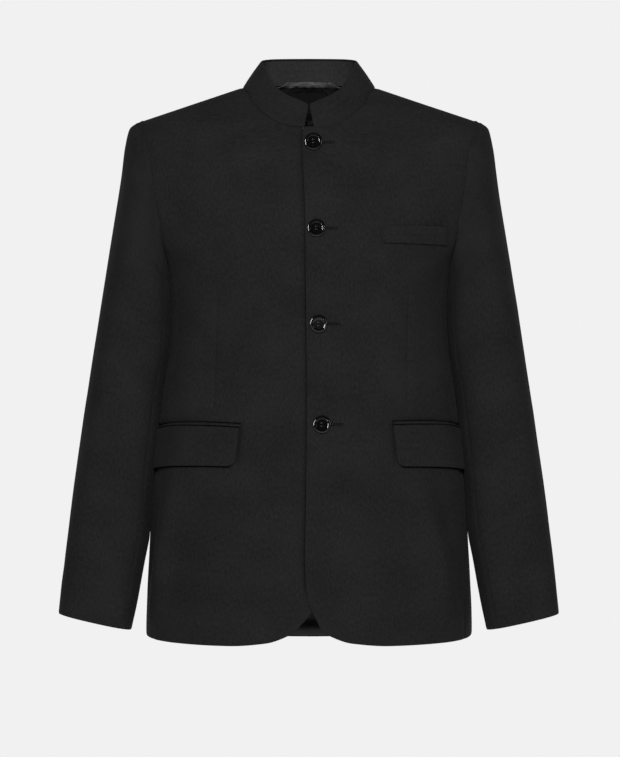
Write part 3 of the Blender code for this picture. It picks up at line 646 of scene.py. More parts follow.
def draw_in(sheet, gap, sides):
    """Pull the named edges of a grid of points in by gap, or out if it is negative."""
    sheet = sheet.copy()
    edges = {
        "top": (np.s_[-1, :], np.s_[-2, :]),
        "inner": (np.s_[:, 0], np.s_[:, 1]), "outer": (np.s_[:, -1], np.s_[:, -2]),
    }
    moves = [(edges[s][0], gap * unit(sheet[edges[s][1]] - sheet[edges[s][0]])) for s in sides]
    for place, move in moves:
        sheet[place] += move
    return sheet


# %% [markdown]
# ## Finishes
#
# Black is a hard colour: its shape shows only in what it reflects. Each material starts
# from the real one. Colours are given as in a paint program and turned linear here.

# %% Helpers for materials
def linear(hex_colour):
    """An sRGB colour such as #1a1a1c as linear red, green, blue and alpha."""
    parts = [int(hex_colour[i:i + 2], 16) / 255 for i in (1, 3, 5)]
    return (*[p / 12.92 if p <= 0.04045 else ((p + 0.055) / 1.055) ** 2.4 for p in parts], 1.0)


def add_node(tree, kind, sockets=None, **settings):
    """Add a node, with its settings, and its inputs set to values or linked to outputs."""
    made = tree.nodes.new(kind)
    for name, value in settings.items():
        setattr(made, name, value)
    for name, value in (sockets or {}).items():
        if isinstance(value, bpy.types.NodeSocket):
            tree.links.new(value, made.inputs[name])
        else:
            made.inputs[name].default_value = value
    return made


def new_material(name, **sockets):
    """A material and its tree, with the shader's own sockets set by name."""
    made = bpy.data.materials.new(name)
    made.use_nodes = True
    shader = made.node_tree.nodes["Principled BSDF"]
    for socket, value in sockets.items():
        shader.inputs[socket.replace("_", " ")].default_value = value
    return made, made.node_tree, shader


def connect(shader, **outputs):
    """Link outputs to the shader's sockets of those names."""
    for socket, output in outputs.items():
        shader.id_data.links.new(output, shader.inputs[socket.replace("_", " ")])


def set_stops(ramp, *stops):
    """Give a colour ramp its positions and colours, and return its colour output."""
    for element, (position, colour) in zip(ramp.color_ramp.elements, stops):
        element.position, element.color = position, colour
    return ramp.outputs["Color"]


# %% [markdown]
# **Worsted wool suiting.** Combed wool yarn, spun hard and woven fine, then pressed. It is
# matt, with a soft lift towards its edges from the fibre ends. Its yarns are 0.35 mm apart,
# far too fine to show from four metres, so the weave here is drawn 1.2 mm apart, with
# slubs a little longer along the warp.

# %% Wool
WEAVE = 0.0012          # drawn spacing of the warp yarns
WEFT = WEAVE * 1.15     # and of the yarns across them
SLUB = (0.0030, 0.0052)  # size of the yarn's uneven places, across and along
CLOUD = 0.060           # size of the faint patches that pressing leaves
BAND = 2 * math.pi / 20  # a wave texture of scale 1 repeats at this distance


def wool(name, dark, light, roughness):
    made, tree, shader = new_material(
        name, Roughness=roughness, Specular_IOR_Level=0.10, Sheen_Weight=0.03,
        Sheen_Roughness=0.45, Sheen_Tint=linear("#c8c8c8"),
    )
    cloth_place = add_node(tree, "ShaderNodeUVMap").outputs["UV"]
    warp, weft = (add_node(tree, "ShaderNodeTexWave", {
        "Vector": cloth_place, "Scale": BAND / pitch, "Distortion": 0.6, "Detail": 1.0,
    }, bands_direction=way).outputs["Fac"] for way, pitch in (("X", WEAVE), ("Y", WEFT)))
    stretched = add_node(tree, "ShaderNodeMapping", {
        "Vector": cloth_place, "Scale": (1 / SLUB[0], 1 / SLUB[1], 1.0),
    }).outputs["Vector"]
    slubs = add_node(tree, "ShaderNodeTexNoise", {
        "Vector": stretched, "Scale": 1.0, "Detail": 2.0, "Roughness": 0.6,
    }).outputs["Fac"]
    clouds = add_node(tree, "ShaderNodeTexNoise", {
        "Vector": cloth_place, "Scale": 1 / CLOUD, "Detail": 2.0,
    }).outputs["Fac"]
    yarns = add_node(tree, "ShaderNodeMath", {0: warp, 1: weft}, operation="MULTIPLY").outputs[0]
    mixed = 0.0
    sums = []
    for layer, share in ((slubs, 0.50), (yarns, 0.25), (clouds, 0.28)):
        mixed = add_node(tree, "ShaderNodeMath", {0: layer, 1: share, 2: mixed},
                         operation="MULTIPLY_ADD").outputs[0]
        sums.append(mixed)
    colour = add_node(tree, "ShaderNodeValToRGB", {"Fac": mixed})
    height = sums[1]    # the clouds change the colour, not the surface
    bump = add_node(tree, "ShaderNodeBump",
                    {"Height": height, "Strength": 0.35, "Distance": 0.0003})
    tones = set_stops(colour, (0.16, linear(dark)), (0.81, linear(light)))
    connect(shader, Base_Color=tones, Normal=bump.outputs["Normal"])
    return made


suiting = wool("worsted_wool_suiting", "#0e0e0e", "#262626", 0.80)
# The inner collar is the same wool painted lighter: painted light, standing in for light that its
# shaded inside does not get.
facing_wool_painted_light = wool("worsted_wool_collar_facing_painted_light", "#181818", "#383838", 0.80)

# %% [markdown]
# ** Satin lining.** Viscose woven so that its long floats lie side by side. It is smooth, and
# shines in soft bands where it wrinkles; here those bands are painted sheen, lighter and
# darker colour along the floats, with the bump following the same noise.

# %% Satin
def satin(name, colour, roughness, floats=(1500.0, 90.0), painted_sheen_contrast=0.25):
    made, tree, shader = new_material(
        name, Roughness=roughness, Specular_IOR_Level=0.3, Sheen_Weight=0.03, Anisotropic=0.5,
    )
    cloth_place = add_node(tree, "ShaderNodeUVMap").outputs["UV"]
    stretched = add_node(tree, "ShaderNodeMapping", {
        "Vector": cloth_place, "Scale": (*floats, 1.0),
    }).outputs["Vector"]
    uneven = add_node(tree, "ShaderNodeTexNoise",
                      {"Vector": stretched, "Scale": 1.0}).outputs["Fac"]
    bump = add_node(tree, "ShaderNodeBump",
                    {"Height": uneven, "Strength": 0.2, "Distance": 0.0002})
    # Painted sheen: the colour turns lighter and darker with the same noise as the bump, standing
    # in for the shine of satin where it wrinkles.
    tone = add_node(tree, "ShaderNodeValToRGB", {"Fac": uneven})
    dark, light = ((*[c * change for c in linear(colour)[:3]], 1)
                   for change in (1 - painted_sheen_contrast, 1 + painted_sheen_contrast))
    tones = set_stops(tone, (0.3, dark), (0.7, light))
    connect(shader, Base_Color=tones, Normal=bump.outputs["Normal"])
    return made


lining_satin = satin("viscose_lining_satin", "#0e0e0e", 0.38, (110.0, 60.0), 0.6)
# The tape's pale colour and its strong bands along its length are painted sheen, standing in for
# the highlights of satin.
tape_satin_painted_sheen = satin("satin_tape_painted_sheen", "#4c4c4c", 0.30, (55.0, 650.0), 0.75)
label_satin = satin("woven_label_satin", "#141415", 0.42)

# %% [markdown]
# **Polished resin, waxed thread and blackened steel.** The buttons are cast polyester,
# turned and polished. The threads are silk twist, and the hook is japanned steel.

# %% Hard finishes and thread
def resin():
    made, tree, shader = new_material(
        "polished_black_resin", Roughness=0.09, Specular_IOR_Level=0.5)
    place = add_node(tree, "ShaderNodeTexCoord").outputs["Object"]
    smoke = add_node(tree, "ShaderNodeTexNoise", {"Vector": place, "Scale": 260.0, "Detail": 3.0})
    tone = add_node(tree, "ShaderNodeValToRGB", {"Fac": smoke.outputs["Fac"]})
    connect(shader, Base_Color=set_stops(tone, (0, linear("#000000")), (1, linear("#060606"))))
    return made


def thread(name, colour, shine):
    made, tree, shader = new_material(
        name, Roughness=0.45, Specular_IOR_Level=shine, Base_Color=linear(colour))
    place = add_node(tree, "ShaderNodeTexCoord").outputs["Object"]
    twist = add_node(tree, "ShaderNodeTexNoise", {"Vector": place, "Scale": 2500.0})
    bump = add_node(tree, "ShaderNodeBump",
                    {"Height": twist.outputs["Fac"], "Strength": 0.3, "Distance": 0.0001})
    connect(shader, Normal=bump.outputs["Normal"])
    return made


def steel():
    made, tree, shader = new_material(
        "blackened_steel", Metallic=1.0, Base_Color=linear("#57575a"))
    place = add_node(tree, "ShaderNodeTexCoord").outputs["Object"]
    wear = add_node(tree, "ShaderNodeTexNoise", {"Vector": place, "Scale": 900.0, "Detail": 4.0})
    rough = add_node(tree, "ShaderNodeMapRange",
                     {"Value": wear.outputs["Fac"], "To Min": 0.28, "To Max": 0.5})
    connect(shader, Roughness=rough.outputs["Result"])
    return made


button_resin = resin()
silk_twist = thread("silk_buttonhole_twist", "#161616", 0.15)
shank_thread = thread("waxed_button_thread", "#1a1a1a", 0.3)
pick_thread = thread("pick_stitch_thread", "#2c2c2c", 0.1)
hook_steel = steel()
print(len(bpy.data.materials), "materials")

# %% [markdown]
# ## Body panels
#
# Two fronts, two side panels and two back halves. The left front laps over the right one,
# so the form is parted there: one front moves out and the other in. Neighbours dip into
# the seam between them, as pressed seams do.

# %% Lines that the grid follows
SEAM_DIP, SEAM_WIDTH = 0.0008, 0.0026
NECK_DIP = 0.0008       # how much lower the body's neck edge lies than the collar's
ROLL_DIP, ROLL_WIDTH = 0.0005, 0.0016
LINE_FLOOR, LINE_TOP = 0.0005, 0.0011   # half widths of a groove, at its floor and top
MOUTH_DEPTH, FLAP_DEPTH, EDGE_DEPTH = 0.0036, 0.0026, 0.0030
JET_HEIGHT = 0.0054
MOUTH_REACH, HEM_REACH = 7, 5   # rows beyond a line that move with it
MOUTH_SPREAD = 0.6      # how much wider the mouth's lines are at their rear end
DARTS = dict(zip((-1, 1), table(
    "x_top z_top x_hem z_hem",
    (0.1185, -0.2700, 0.1235, -0.4270), (0.1290, -0.2640, 0.1270, -0.4260),
)))
DART_LINE = 0.0009      # half width of the pressed line of a dart
DART_DEPTH, HOLLOW_DEPTH, HOLLOW_WIDTH = 0.0008, 0.0014, 0.011
FLAPS = table(
    "word side top_x hem_x rear top_z hem_z",
    ("left", 1, 0.1085, 0.1130, 80.0,
     (-0.4438, -0.4440, -0.4505), (-0.4965, -0.4985, -0.5045)),
    ("right", -1, 0.0892, 0.0945, 80.0,
     (-0.4469, -0.4450, -0.4511), (-0.4965, -0.4967, -0.5030)),
)
FLAP_CORNER = 0.0085
FLAP_ROOM = 0.0004      # the lines around a flap lie this far outside it


def bowed(ends, u):
    """A parabola through a front, middle and rear value."""
    front, middle, rear = ends
    return front + u * (4 * middle - 3 * front - rear) + u * u * 2 * (front + rear - 2 * middle)


def slide_from(line, first, targets, reach, hold):
    """Move a run of a grid line's places, so that those from first on fall on the targets."""
    last = first + len(targets) - 1
    low, high = max(first - reach, 0), min(last + reach, len(line) - 1)
    if low >= first or high <= last or hold <= 0:
        return
    way = np.sign(line[high] - line[low])
    if (targets[0] - line[low]) * way <= 0 or (line[high] - targets[-1]) * way <= 0:
        return
    run = np.arange(low, high + 1)
    at = np.interp(run, (low, *range(first, last + 1), high), (line[low], *targets, line[high]))
    line[run] += hold * (at - line[run])


def beside(middle, scale=1.0):
    """The four grid lines of a groove: two at its top and two at its floor."""
    return [middle + scale * off for off in (-LINE_TOP, -LINE_FLOOR, LINE_FLOOR, LINE_TOP)]


def flap_line(flap, turn):
    """Share of the way along the flap, and heights of its top, jet and hem, at a turn."""
    first = turn_at_x(flap.top_x, flap.top_z[0])
    u = np.clip((turn - first) / (flap.rear - first), 0, 1)
    low = bowed(flap.top_z, u)
    return u, low, low + JET_HEIGHT, bowed(flap.hem_z, u) - FLAP_ROOM


def flap_front(flap, z):
    """Turn of the flap's front edge at a height."""
    share = np.clip((z - flap.hem_z[0]) / (flap.top_z[0] - flap.hem_z[0]), 0, 1)
    x = flap.hem_x + (flap.top_x - flap.hem_x) * share
    return turn_at_x(x, np.clip(z, flap.hem_z[0], flap.top_z[0])) - FLAP_ROOM / TURN_LENGTH


def flap_rear(flap):
    return flap.rear + FLAP_ROOM / TURN_LENGTH


def dart_turn(dart, z):
    return turn_at_x(np.interp(z, (dart.z_hem, dart.z_top), (dart.x_hem, dart.x_top)), z)


def gather(places, turn_lines, flap):
    """Slide rows and columns so that they follow the pocket's outline and the dart."""
    turn, z = places[..., 0].copy(), places[..., 1].copy()
    front, middle = flap_front(flap, flap.top_z[0]), z.shape[1] // 2
    _, low, high, hem = flap_line(flap, np.clip(turn[len(turn) // 3, middle], front, flap.rear))
    mouth = int(np.argmin(np.abs(z[:, middle] - (low + high) / 2))) - 4
    under = int(np.argmin(np.abs(z[:, middle] - hem))) - 2
    for column in range(z.shape[1]):
        at = turn[mouth, column]
        hold = fade(max(front - at, at - flap.rear, 0), 0.5, 9.0)
        u, low, high, hem = flap_line(flap, at)
        wide = 1 + MOUTH_SPREAD * u
        mouth_lines = (*beside(low, wide), *beside(high, wide))
        slide_from(z[:, column], mouth, mouth_lines, MOUTH_REACH, hold)
        slide_from(z[:, column], under, beside(hem), HEM_REACH, hold)
    for line, z_low, z_high, room, reach, targets in turn_lines:
        row = int(np.argmin(np.abs(z[:, middle] - (z_low + z_high) / 2)))
        target = float(line(z[row, middle]))
        if not turn[row].min() < target < turn[row].max():
            continue
        first = int(np.argmin(np.abs(turn[row] - target))) - len(targets) // 2
        for i in range(len(turn)):
            at = z[i, min(max(first + 1, 0), z.shape[1] - 1)]
            hold = fade(max(z_low - at, at - z_high, 0), 0.0015, room)
            wanted = [float(line(at)) + off / TURN_LENGTH for off in targets]
            slide_from(turn[i], first, wanted, reach, hold)
    return pairs(turn, z)


def groove(off):
    """1 on a line's floor and 0 beside it, at a distance from its middle."""
    return fade(np.abs(off), LINE_FLOOR, LINE_TOP)


def pocket_depth(turn, z, flap):
    """Grooves around a jet and under a flap's edges."""
    u, low, high, hem = flap_line(flap, turn)
    wide = 1 + MOUTH_SPREAD * u
    front = flap_front(flap, z)
    past = np.maximum(front - turn, turn - flap.rear) * TURN_LENGTH
    inside = fade(past, 0.0, 0.0012)
    depth = MOUTH_DEPTH * inside * np.maximum(groove((z - low) / wide), groove((z - high) / wide))
    inset = fade(past, -FLAP_CORNER, -FLAP_CORNER + 0.002)
    depth = np.maximum(depth, FLAP_DEPTH * inset * groove(z - hem))
    upright = fade(hem + FLAP_CORNER - z, 0.0, 0.002) * fade(z - high, 0.0, 0.001)
    sides = [groove((turn - edge) * TURN_LENGTH) for edge in (front, flap_rear(flap))]
    return np.maximum(depth, FLAP_DEPTH * upright * np.maximum(*sides))


def over_line(z):
    """Turn, on the under front, just outside the edge of the front that laps it."""
    return turn_at_x(0.0005 - smooth(OVER_EDGE, "x", z), z)


def edge_depth(turn, z):
    """The under front sinks beside the edge that lies on it."""
    return EDGE_DEPTH * groove((turn - over_line(z)) * TURN_LENGTH) * fade(-z, 0.652, 0.662)


def dart_depth(turn, z, dart):
    """A pressed line along the dart, in a shallow hollow."""
    off = (turn - dart_turn(dart, z)) * TURN_LENGTH
    middle, half = (dart.z_top + dart.z_hem) / 2, (dart.z_top - dart.z_hem) / 2
    away = np.abs(z - middle)
    line = DART_DEPTH * np.exp(-(off / (DART_LINE * 0.8)) ** 2) * fade(away, half * 0.93, half)
    wide = np.exp(-(off / HOLLOW_WIDTH) ** 2)
    hollow = HOLLOW_DEPTH * wide * fade(away, half * 0.3, half * 1.1)
    return line + hollow


# %% Panels
def panel(name, node, places, side, seams, rolled, lap=0.0):
    """A body panel of one side, with its pocket and dart if they cross it."""
    flap = next(flap for flap in FLAPS if flap.side == side)
    dart = DARTS[side]
    pocket = "back" not in node
    if pocket:
        low, high = flap.hem_z, [z + JET_HEIGHT for z in flap.top_z]
        # line, its lower and upper end, room that it takes to fade, reach in columns, offsets
        lines = (
            (over_line, -0.658, -0.060, 0.008, 4, beside(0.0)),
            (lambda z: dart_turn(dart, z), dart.z_hem, dart.z_top, 0.030, 9,
             (-DART_LINE, 0.0, DART_LINE)),
            (lambda z: flap_front(flap, z), low[0], high[0], 0.014, 4, beside(0.0)),
            (lambda z: flap_rear(flap), low[2], high[2], 0.014, 4, beside(0.0)),
        )
        places = gather(places, lines if lap < 0 else lines[1:], flap)
    turn, z = places[..., 0], places[..., 1]
    point, normal = on_form(turn, z)
    lift = relief(side * turn, z) + lap * fade(point[..., 0], LAP_FULL, LAP_GONE)
    lift = lift - from_edges(point, seams, SEAM_DIP, SEAM_WIDTH)
    lift = lift - from_edges(point, rolled, ROLL_DIP, ROLL_WIDTH)
    if "side" not in node:
        level = fade(point[..., 0], LAP_FULL, LAP_GONE) * (lap < 0)
        neck = NECK_DIP - (NECK_DIP + SEAM_DIP) * level
        lift = lift - neck * from_edges(point, ("top",), 1.0, SEAM_WIDTH)
    if pocket:
        lift = lift - pocket_depth(turn, z, flap)
    if "front" in node:
        lift = lift - dart_depth(turn, z, dart)
    if lap < 0:
        lift = lift - edge_depth(turn, z)
    sheet = draw_in(raised(point, normal, lift), -SEAM, seams)
    cloth(name, node, sheet, normal, CLOTH, suiting, side=side)


over, under = front_places(OVER_EDGE), front_places(UNDER_EDGE)
panel("left_front", "front_left", over, 1, ("outer", "top"), ("inner", "bottom"), LAP)
panel("right_front", "front_right", under, -1, ("outer", "top"), ("inner", "bottom"), -LAP)
back, side_panel = back_places(), side_places()
for side, word in ((1, "left"), (-1, "right")):
    panel(word + "_side", "side_" + word, side_panel, side, ("inner", "outer", "top"), ("bottom",))
    panel(word + "_back", "back_" + word, back, side, ("inner", "outer", "top"), ("bottom",))
print("panels", {name: len(made.data.polygons) for name, made in made_cloth.items()})

# %% [markdown]
# ## Sleeves
#
# Each sleeve is a top and an under piece, sewn into the armhole. The tube is worked out
# from its outer and inner edge as seen from the front. Its first ring is the armhole, and
# over the first few steps the tube settles to its own shape.

# %% Sleeve form
SLEEVE = table(
    "step outer_x outer_z clear inner_z mid_y depth",
    (0, 0.2233, -0.0461, 0.0020, -0.2346, -0.0020, 0.0690),
    (1, 0.2325, -0.0530, -0.0010, -0.2412, -0.0010, 0.0692),
    (2, 0.2405, -0.0790, -0.0040, -0.2490, 0.0000, 0.0698),
    (3, 0.2465, -0.1150, -0.0045, -0.2580, 0.0015, 0.0702),
    (4, 0.2545, -0.1640, -0.0045, -0.2690, 0.0030, 0.0700),
    (5, 0.2628, -0.2140, -0.0045, -0.2830, 0.0045, 0.0690),
    (6, 0.2705, -0.2620, -0.0045, -0.3030, 0.0055, 0.0672),
    (7, 0.2785, -0.3130, -0.0045, -0.3340, 0.0055, 0.0645),
    (8, 0.2872, -0.3690, -0.0045, -0.3810, 0.0035, 0.0612),
    (9, 0.2960, -0.4290, -0.0045, -0.4380, -0.0010, 0.0575),
    (10, 0.3045, -0.4900, -0.0040, -0.5000, -0.0075, 0.0538),
    (11, 0.3125, -0.5520, -0.0030, -0.5640, -0.0150, 0.0500),
    (12, 0.3190, -0.6080, 0.0042, -0.6220, -0.0220, 0.0462),
    (13, 0.3237, -0.6510, 0.0100, -0.6680, -0.0275, 0.0430),
    (14, 0.3275, -0.6900, 0.0178, -0.7115, -0.0320, 0.0402),
)
SLEEVE_SQUARE = 2.5
CAP_STEPS = 4.0
SLEEVE_FACETS = 16      # the seams are counted in sixteenths of the armhole
FRONT_SLEEVE_SEAM, BACK_SLEEVE_SEAM = 6, 5


def sleeve_ring(angle, step):
    """The tube before it is drawn to the armhole."""
    s, c = np.sin(angle), np.cos(angle)
    reach = reach_of(s, c, SLEEVE_SQUARE)
    inner_z = smooth(SLEEVE, "inner_z", step)
    inner_x = smooth(BODY, "side", inner_z) + smooth(SLEEVE, "clear", step)
    outer_x, outer_z = smooth(SLEEVE, "outer_x", step), smooth(SLEEVE, "outer_z", step)
    half = c * reach / 2
    return np.stack([
        (outer_x + inner_x) / 2 + (outer_x - inner_x) * half,
        smooth(SLEEVE, "mid_y", step) - smooth(SLEEVE, "depth", step) * s * reach,
        (outer_z + inner_z) / 2 + (outer_z - inner_z) * half,
    ], axis=-1)


def cap_shift(angle):
    """From the sleeve's first ring to the armhole, a seam's gap outside the body."""
    places = armhole_place(angle)
    points, normals = on_form(places[..., 0], places[..., 1])
    under = ((1 - np.cos(angle)) / 2)[..., None]
    away = normals * UNDERARM_GAP * under + np.array([CAP_GAP, 0, 0])
    return points + away - sleeve_ring(angle, np.zeros_like(angle))


def sleeve(around, step):
    """Outer side of the left sleeve; around is in degrees from the shoulder point,
    90 at the front, and step counts down from the armhole."""
    around, step = np.broadcast_arrays(np.asarray(around, float), np.asarray(step, float))
    angle = around * DEGREE
    return sleeve_ring(angle, step) + cap_shift(angle) * fade(step, 0, CAP_STEPS)[..., None]


def sleeve_normals(around, step):
    """Unit normals out of the tube."""
    turn, move = 0.5, 0.02
    d_around = sleeve(around + turn, step) - sleeve(around - turn, step)
    d_step = sleeve(around, step + move) - sleeve(around, np.maximum(step - move, 0))
    return unit(np.cross(d_around, d_step))


# %% Folds of the sleeves
SLEEVE_TURN = 0.0010    # metres of cloth in one degree around the sleeve
SLEEVE_STEP = 0.0500    # metres of cloth in one step down it
SLEEVE_FOLDS = {
    1: table(
        FOLD,
        (0.105, 0.10, 0.085, 0.34, 0.014, -0.0016),
        (0.060, 0.05, 0.070, 0.26, 0.016, 0.0012),
        (0.130, 0.20, 0.050, 0.30, 0.012, 0.0012),
        (0.120, 0.30, 0.040, 0.36, 0.012, -0.0011),
        (0.110, 0.42, 0.060, 0.60, 0.016, 0.0011),
        (0.030, 0.38, 0.020, 0.62, 0.018, -0.0010),
        (-0.090, 0.08, -0.080, 0.30, 0.016, -0.0015),
        (-0.120, 0.22, -0.050, 0.33, 0.013, 0.0014),
        (-0.125, 0.30, -0.045, 0.40, 0.013, -0.0013),
        (-0.060, 0.42, -0.080, 0.64, 0.018, 0.0011),
    ),
    -1: table(
        FOLD,
        (0.110, 0.09, 0.090, 0.33, 0.014, -0.0014),
        (0.055, 0.06, 0.062, 0.27, 0.017, 0.0011),
        (0.150, 0.17, 0.080, 0.20, 0.009, -0.0014),
        (0.130, 0.24, 0.055, 0.33, 0.013, 0.0011),
        (0.115, 0.45, 0.065, 0.62, 0.017, 0.0010),
        (0.035, 0.40, 0.022, 0.60, 0.018, -0.0009),
        (-0.088, 0.09, -0.082, 0.31, 0.016, -0.0014),
        (-0.118, 0.23, -0.048, 0.35, 0.013, 0.0013),
        (-0.120, 0.33, -0.050, 0.42, 0.013, -0.0012),
        (-0.062, 0.44, -0.078, 0.63, 0.018, 0.0010),
    ),
}


CALM_STEPS = 1.2        # the folds start this far down from the armhole
SLEEVE_EASE = 1.15      # width of the sleeve's cloth against that counted from its turn
SLEEVE_DIP = SEAM_DIP * 0.7
SLEEVE_WAVES = table(WAVES, (0.00045, 0.6, 0.040, 11), (0.00015, 0.6, 0.015, 15))
PRESS_GAP, PRESS_SOFT = 0.0002, 0.0008


def press(points, side):
    """Flatten a sleeve where it lies against the body, just outside its cloth."""
    x, y, z = points[..., 0], points[..., 1], points[..., 2]
    column_turns = [turn_at_depth(np.abs(y), z, column) for column in ("front", "back")]
    turn = np.where(y < 0, *column_turns)
    wall = body(turn, z)[..., 0] + relief(side * turn, z) + PRESS_GAP
    outside = (x + wall + np.sqrt((x - wall) ** 2 + PRESS_SOFT ** 2)) / 2
    pressed = points.copy()
    pressed[..., 0] = np.where(z < ARMHOLE_BOTTOM, outside, x)
    hold = fade(-z, -ARMHOLE_BOTTOM, -ARMHOLE_BOTTOM + 0.020)[..., None]
    return points * hold + pressed * (1 - hold)


def sleeve_relief(around, step, side):
    across = ((around + 180) % 360 - 180) * SLEEVE_TURN
    up = step * SLEEVE_STEP
    uneven = waves(SLEEVE_WAVES, across + side, up, side)
    return (folds(SLEEVE_FOLDS[side], across, up) + uneven) * (1 - fade(step, 0.0, CALM_STEPS))


TUCK, TUCK_ROOM = 0.0050, 0.0012
TUCK_SLOPE, TUCK_LEAN = 0.6, 0.7
ARMHOLE_MIDDLE = (0.2100, -0.0020, -0.1400)


def tucked(sheet):
    """Two more rows past the armhole, turned in behind the body's cloth."""
    out = unit((sheet[-1] - ARMHOLE_MIDDLE) * (0, 1, 1))
    turned = sheet[-1] + unit(out * -TUCK_SLOPE - (1, 0, 0)) * (CLOTH + TUCK_ROOM)
    end = turned + unit(out - (TUCK_LEAN, 0, 0)) * TUCK
    return np.concatenate((sheet, turned[None], end[None]))


def sleeve_piece(name, node, first, last, side):
    """Top or under sleeve, between two seams counted around the armhole."""
    turn = 360.0 / SLEEVE_FACETS
    width = (last - first) * turn * SLEEVE_TURN * SLEEVE_EASE
    around = first * turn + (last - first) * turn * shares(width)
    steps = shares(SLEEVE[-1].step * SLEEVE_STEP)[::-1] * SLEEVE[-1].step
    around, steps = np.meshgrid(around, steps)
    point, normal = sleeve(around, steps), sleeve_normals(around, steps)
    lift = sleeve_relief(around, steps, side)
    lift = lift - from_edges(point, ("inner", "outer"), SLEEVE_DIP, SEAM_WIDTH)
    lift = lift - from_edges(point, ("bottom",), ROLL_DIP, ROLL_WIDTH)
    sheet = draw_in(press(raised(point, normal, lift), side), -SEAM, ("inner", "outer"))
    normal = np.concatenate((normal, normal[-1:], normal[-1:]))
    cloth(name, node, tucked(sheet), normal, CLOTH, suiting, side=side)


for side, word in ((1, "left"), (-1, "right")):
    first, last = -BACK_SLEEVE_SEAM, FRONT_SLEEVE_SEAM
    for kind, start, end in (("top", first, last), ("under", last, SLEEVE_FACETS + first)):
        sleeve_piece(f"{word}_{kind}_sleeve", f"sleeve_{word}_{kind}", start, end, side)
print("sleeve length down its outer edge", round(made_cloth["sleeve_left_top"]["cut"][1], 3))

# %% [markdown]
# ## Collar
#
# A stand collar is a curved strip, stiffened and turned at its top edge. The outer cloth
# rolls over that edge and ends on the inside, three millimetres down, where the inner
# collar starts. Its two front corners are rounded.

# %% Collar form
HALF_COLLAR, COLLAR_HEIGHT = 0.23, 0.042
LOW_STEP = 0.0030       # facet up the collar and the welt
COLLAR_CORNER = 0.0020
COLLAR_BOW = 0.0008     # how far the strip bulges between its edges
FACING_DROP, FACING_START = 0.0030, -0.0035
FACING_GAP = 0.00005    # between the outer and the inner collar


def collar_points(outside, lower, roll, start=-SEAM):
    """Rows of points from the collar's seam to its top edge, with outward normals."""
    half = np.concatenate((FRONT_NECK_TURNS, BACK_NECK_TURNS[1:]))
    turns = spaced(half, shares(HALF_COLLAR, FINE_STEP, (True, False)))
    turns = np.concatenate((turns, 360 - turns[-2::-1]))
    sign = np.where(turns > 180, -1.0, 1.0)
    at = np.where(turns > 180, 360 - turns, turns)
    base = body(turns, smooth(NECK, "seam_z", at))
    top = np.stack([smooth(NECK, "top_x", at) * sign, smooth(NECK, "top_y", at),
                    smooth(NECK, "top_z", at)], axis=-1)
    height = np.linalg.norm(top - base, axis=-1)
    rise = unit(top - base)
    from_end = along(top)
    from_end = np.minimum(from_end, from_end[-1] - from_end)
    inside = np.clip(COLLAR_CORNER - from_end, 0, COLLAR_CORNER)
    cut = COLLAR_CORNER - np.sqrt(COLLAR_CORNER ** 2 - inside ** 2)
    up = shares(COLLAR_HEIGHT, LOW_STEP)
    rows = up[:, None] * (height - cut - lower - start)[None] + start
    point = base[None] + rise[None] * rows[..., None]
    flat = [unit(np.cross(np.gradient(line, axis=0), rise)) for line in (base, top)]
    normal = unit(flat[0][None] * (1 - up[:, None, None]) + flat[1][None] * up[:, None, None])
    bow = COLLAR_BOW * np.sin(np.pi * up)[:, None]
    lift = outside + bow - from_edges(point, ("bottom",), SEAM_DIP - NECK_DIP, SEAM_WIDTH)
    lift = lift - from_edges(point, ("top", "inner", "outer"), roll, ROLL_WIDTH)
    return raised(point, normal, lift), normal


outer_side = collar_points(0.0, 0.0, ROLL_DIP)
cloth("outer_collar", "collar", *outer_side, CLOTH, suiting, 0.0008)
inner_side = collar_points(-(CLOTH + FACING_GAP), FACING_DROP, 0.0, FACING_START)
# The inner collar's wool is a lighter copy of the suiting: painted light.
cloth("inner_collar", "collar_facing", *inner_side, FACING, facing_wool_painted_light, 0.0003)
print("collar is", [round(x, 3) for x in made_cloth["collar"]["cut"][:2]], "m")

# %% [markdown]
# ## Pockets
#
# Each hip pocket has a flap and, above it, a jet: a folded strip three or four yarns proud
# of the cloth. The breast pocket has a welt. All three lie on the front, so they are made
# from the front's own points, moved out.

# %% Flaps, jets and welt
FLAP_LIFT = 0.0020      # the flap's hem stands this much further out than its top
JET_IN = 0.0010         # room between a jet's edges and the pocket's lines
STRIP = 0.0010          # wall of the jets and the welt
MOUTH_LENGTH, FLAP_HEIGHT = 0.125, 0.054
FLAP_ROLL, FLAP_SEAM = (0.0006, 0.0018), (0.0009, 0.0022)   # depth and width of the dips
JET_OUT, JET_ROLL, JET_SINK = 0.0013, 0.0016, 0.0007        # middle, edges, and rear end
WELT_LENGTH, WELT_HEIGHT = 0.088, 0.023
WELT_LIFT, WELT_ROLL = 0.0017, (0.0012, 0.003)
WELT_X = (0.0940, 0.1800)
WELT_TOP_Z = (-0.1875, -0.1865)
WELT_HEM_Z = (-0.2092, -0.2103)


def laid(name, node, side, turns, z, out, thick, roll):
    """A piece that lies on the body's cloth and follows its folds."""
    point, normal = on_form(turns, z)
    sheet = raised(point, normal, relief(side * turns, z) + out)
    cloth(name, node, sheet, normal, thick, suiting, roll, side)


def mix(low, high, share):
    """Between two values, at a share of the way."""
    return low * (1 - share) + high * share


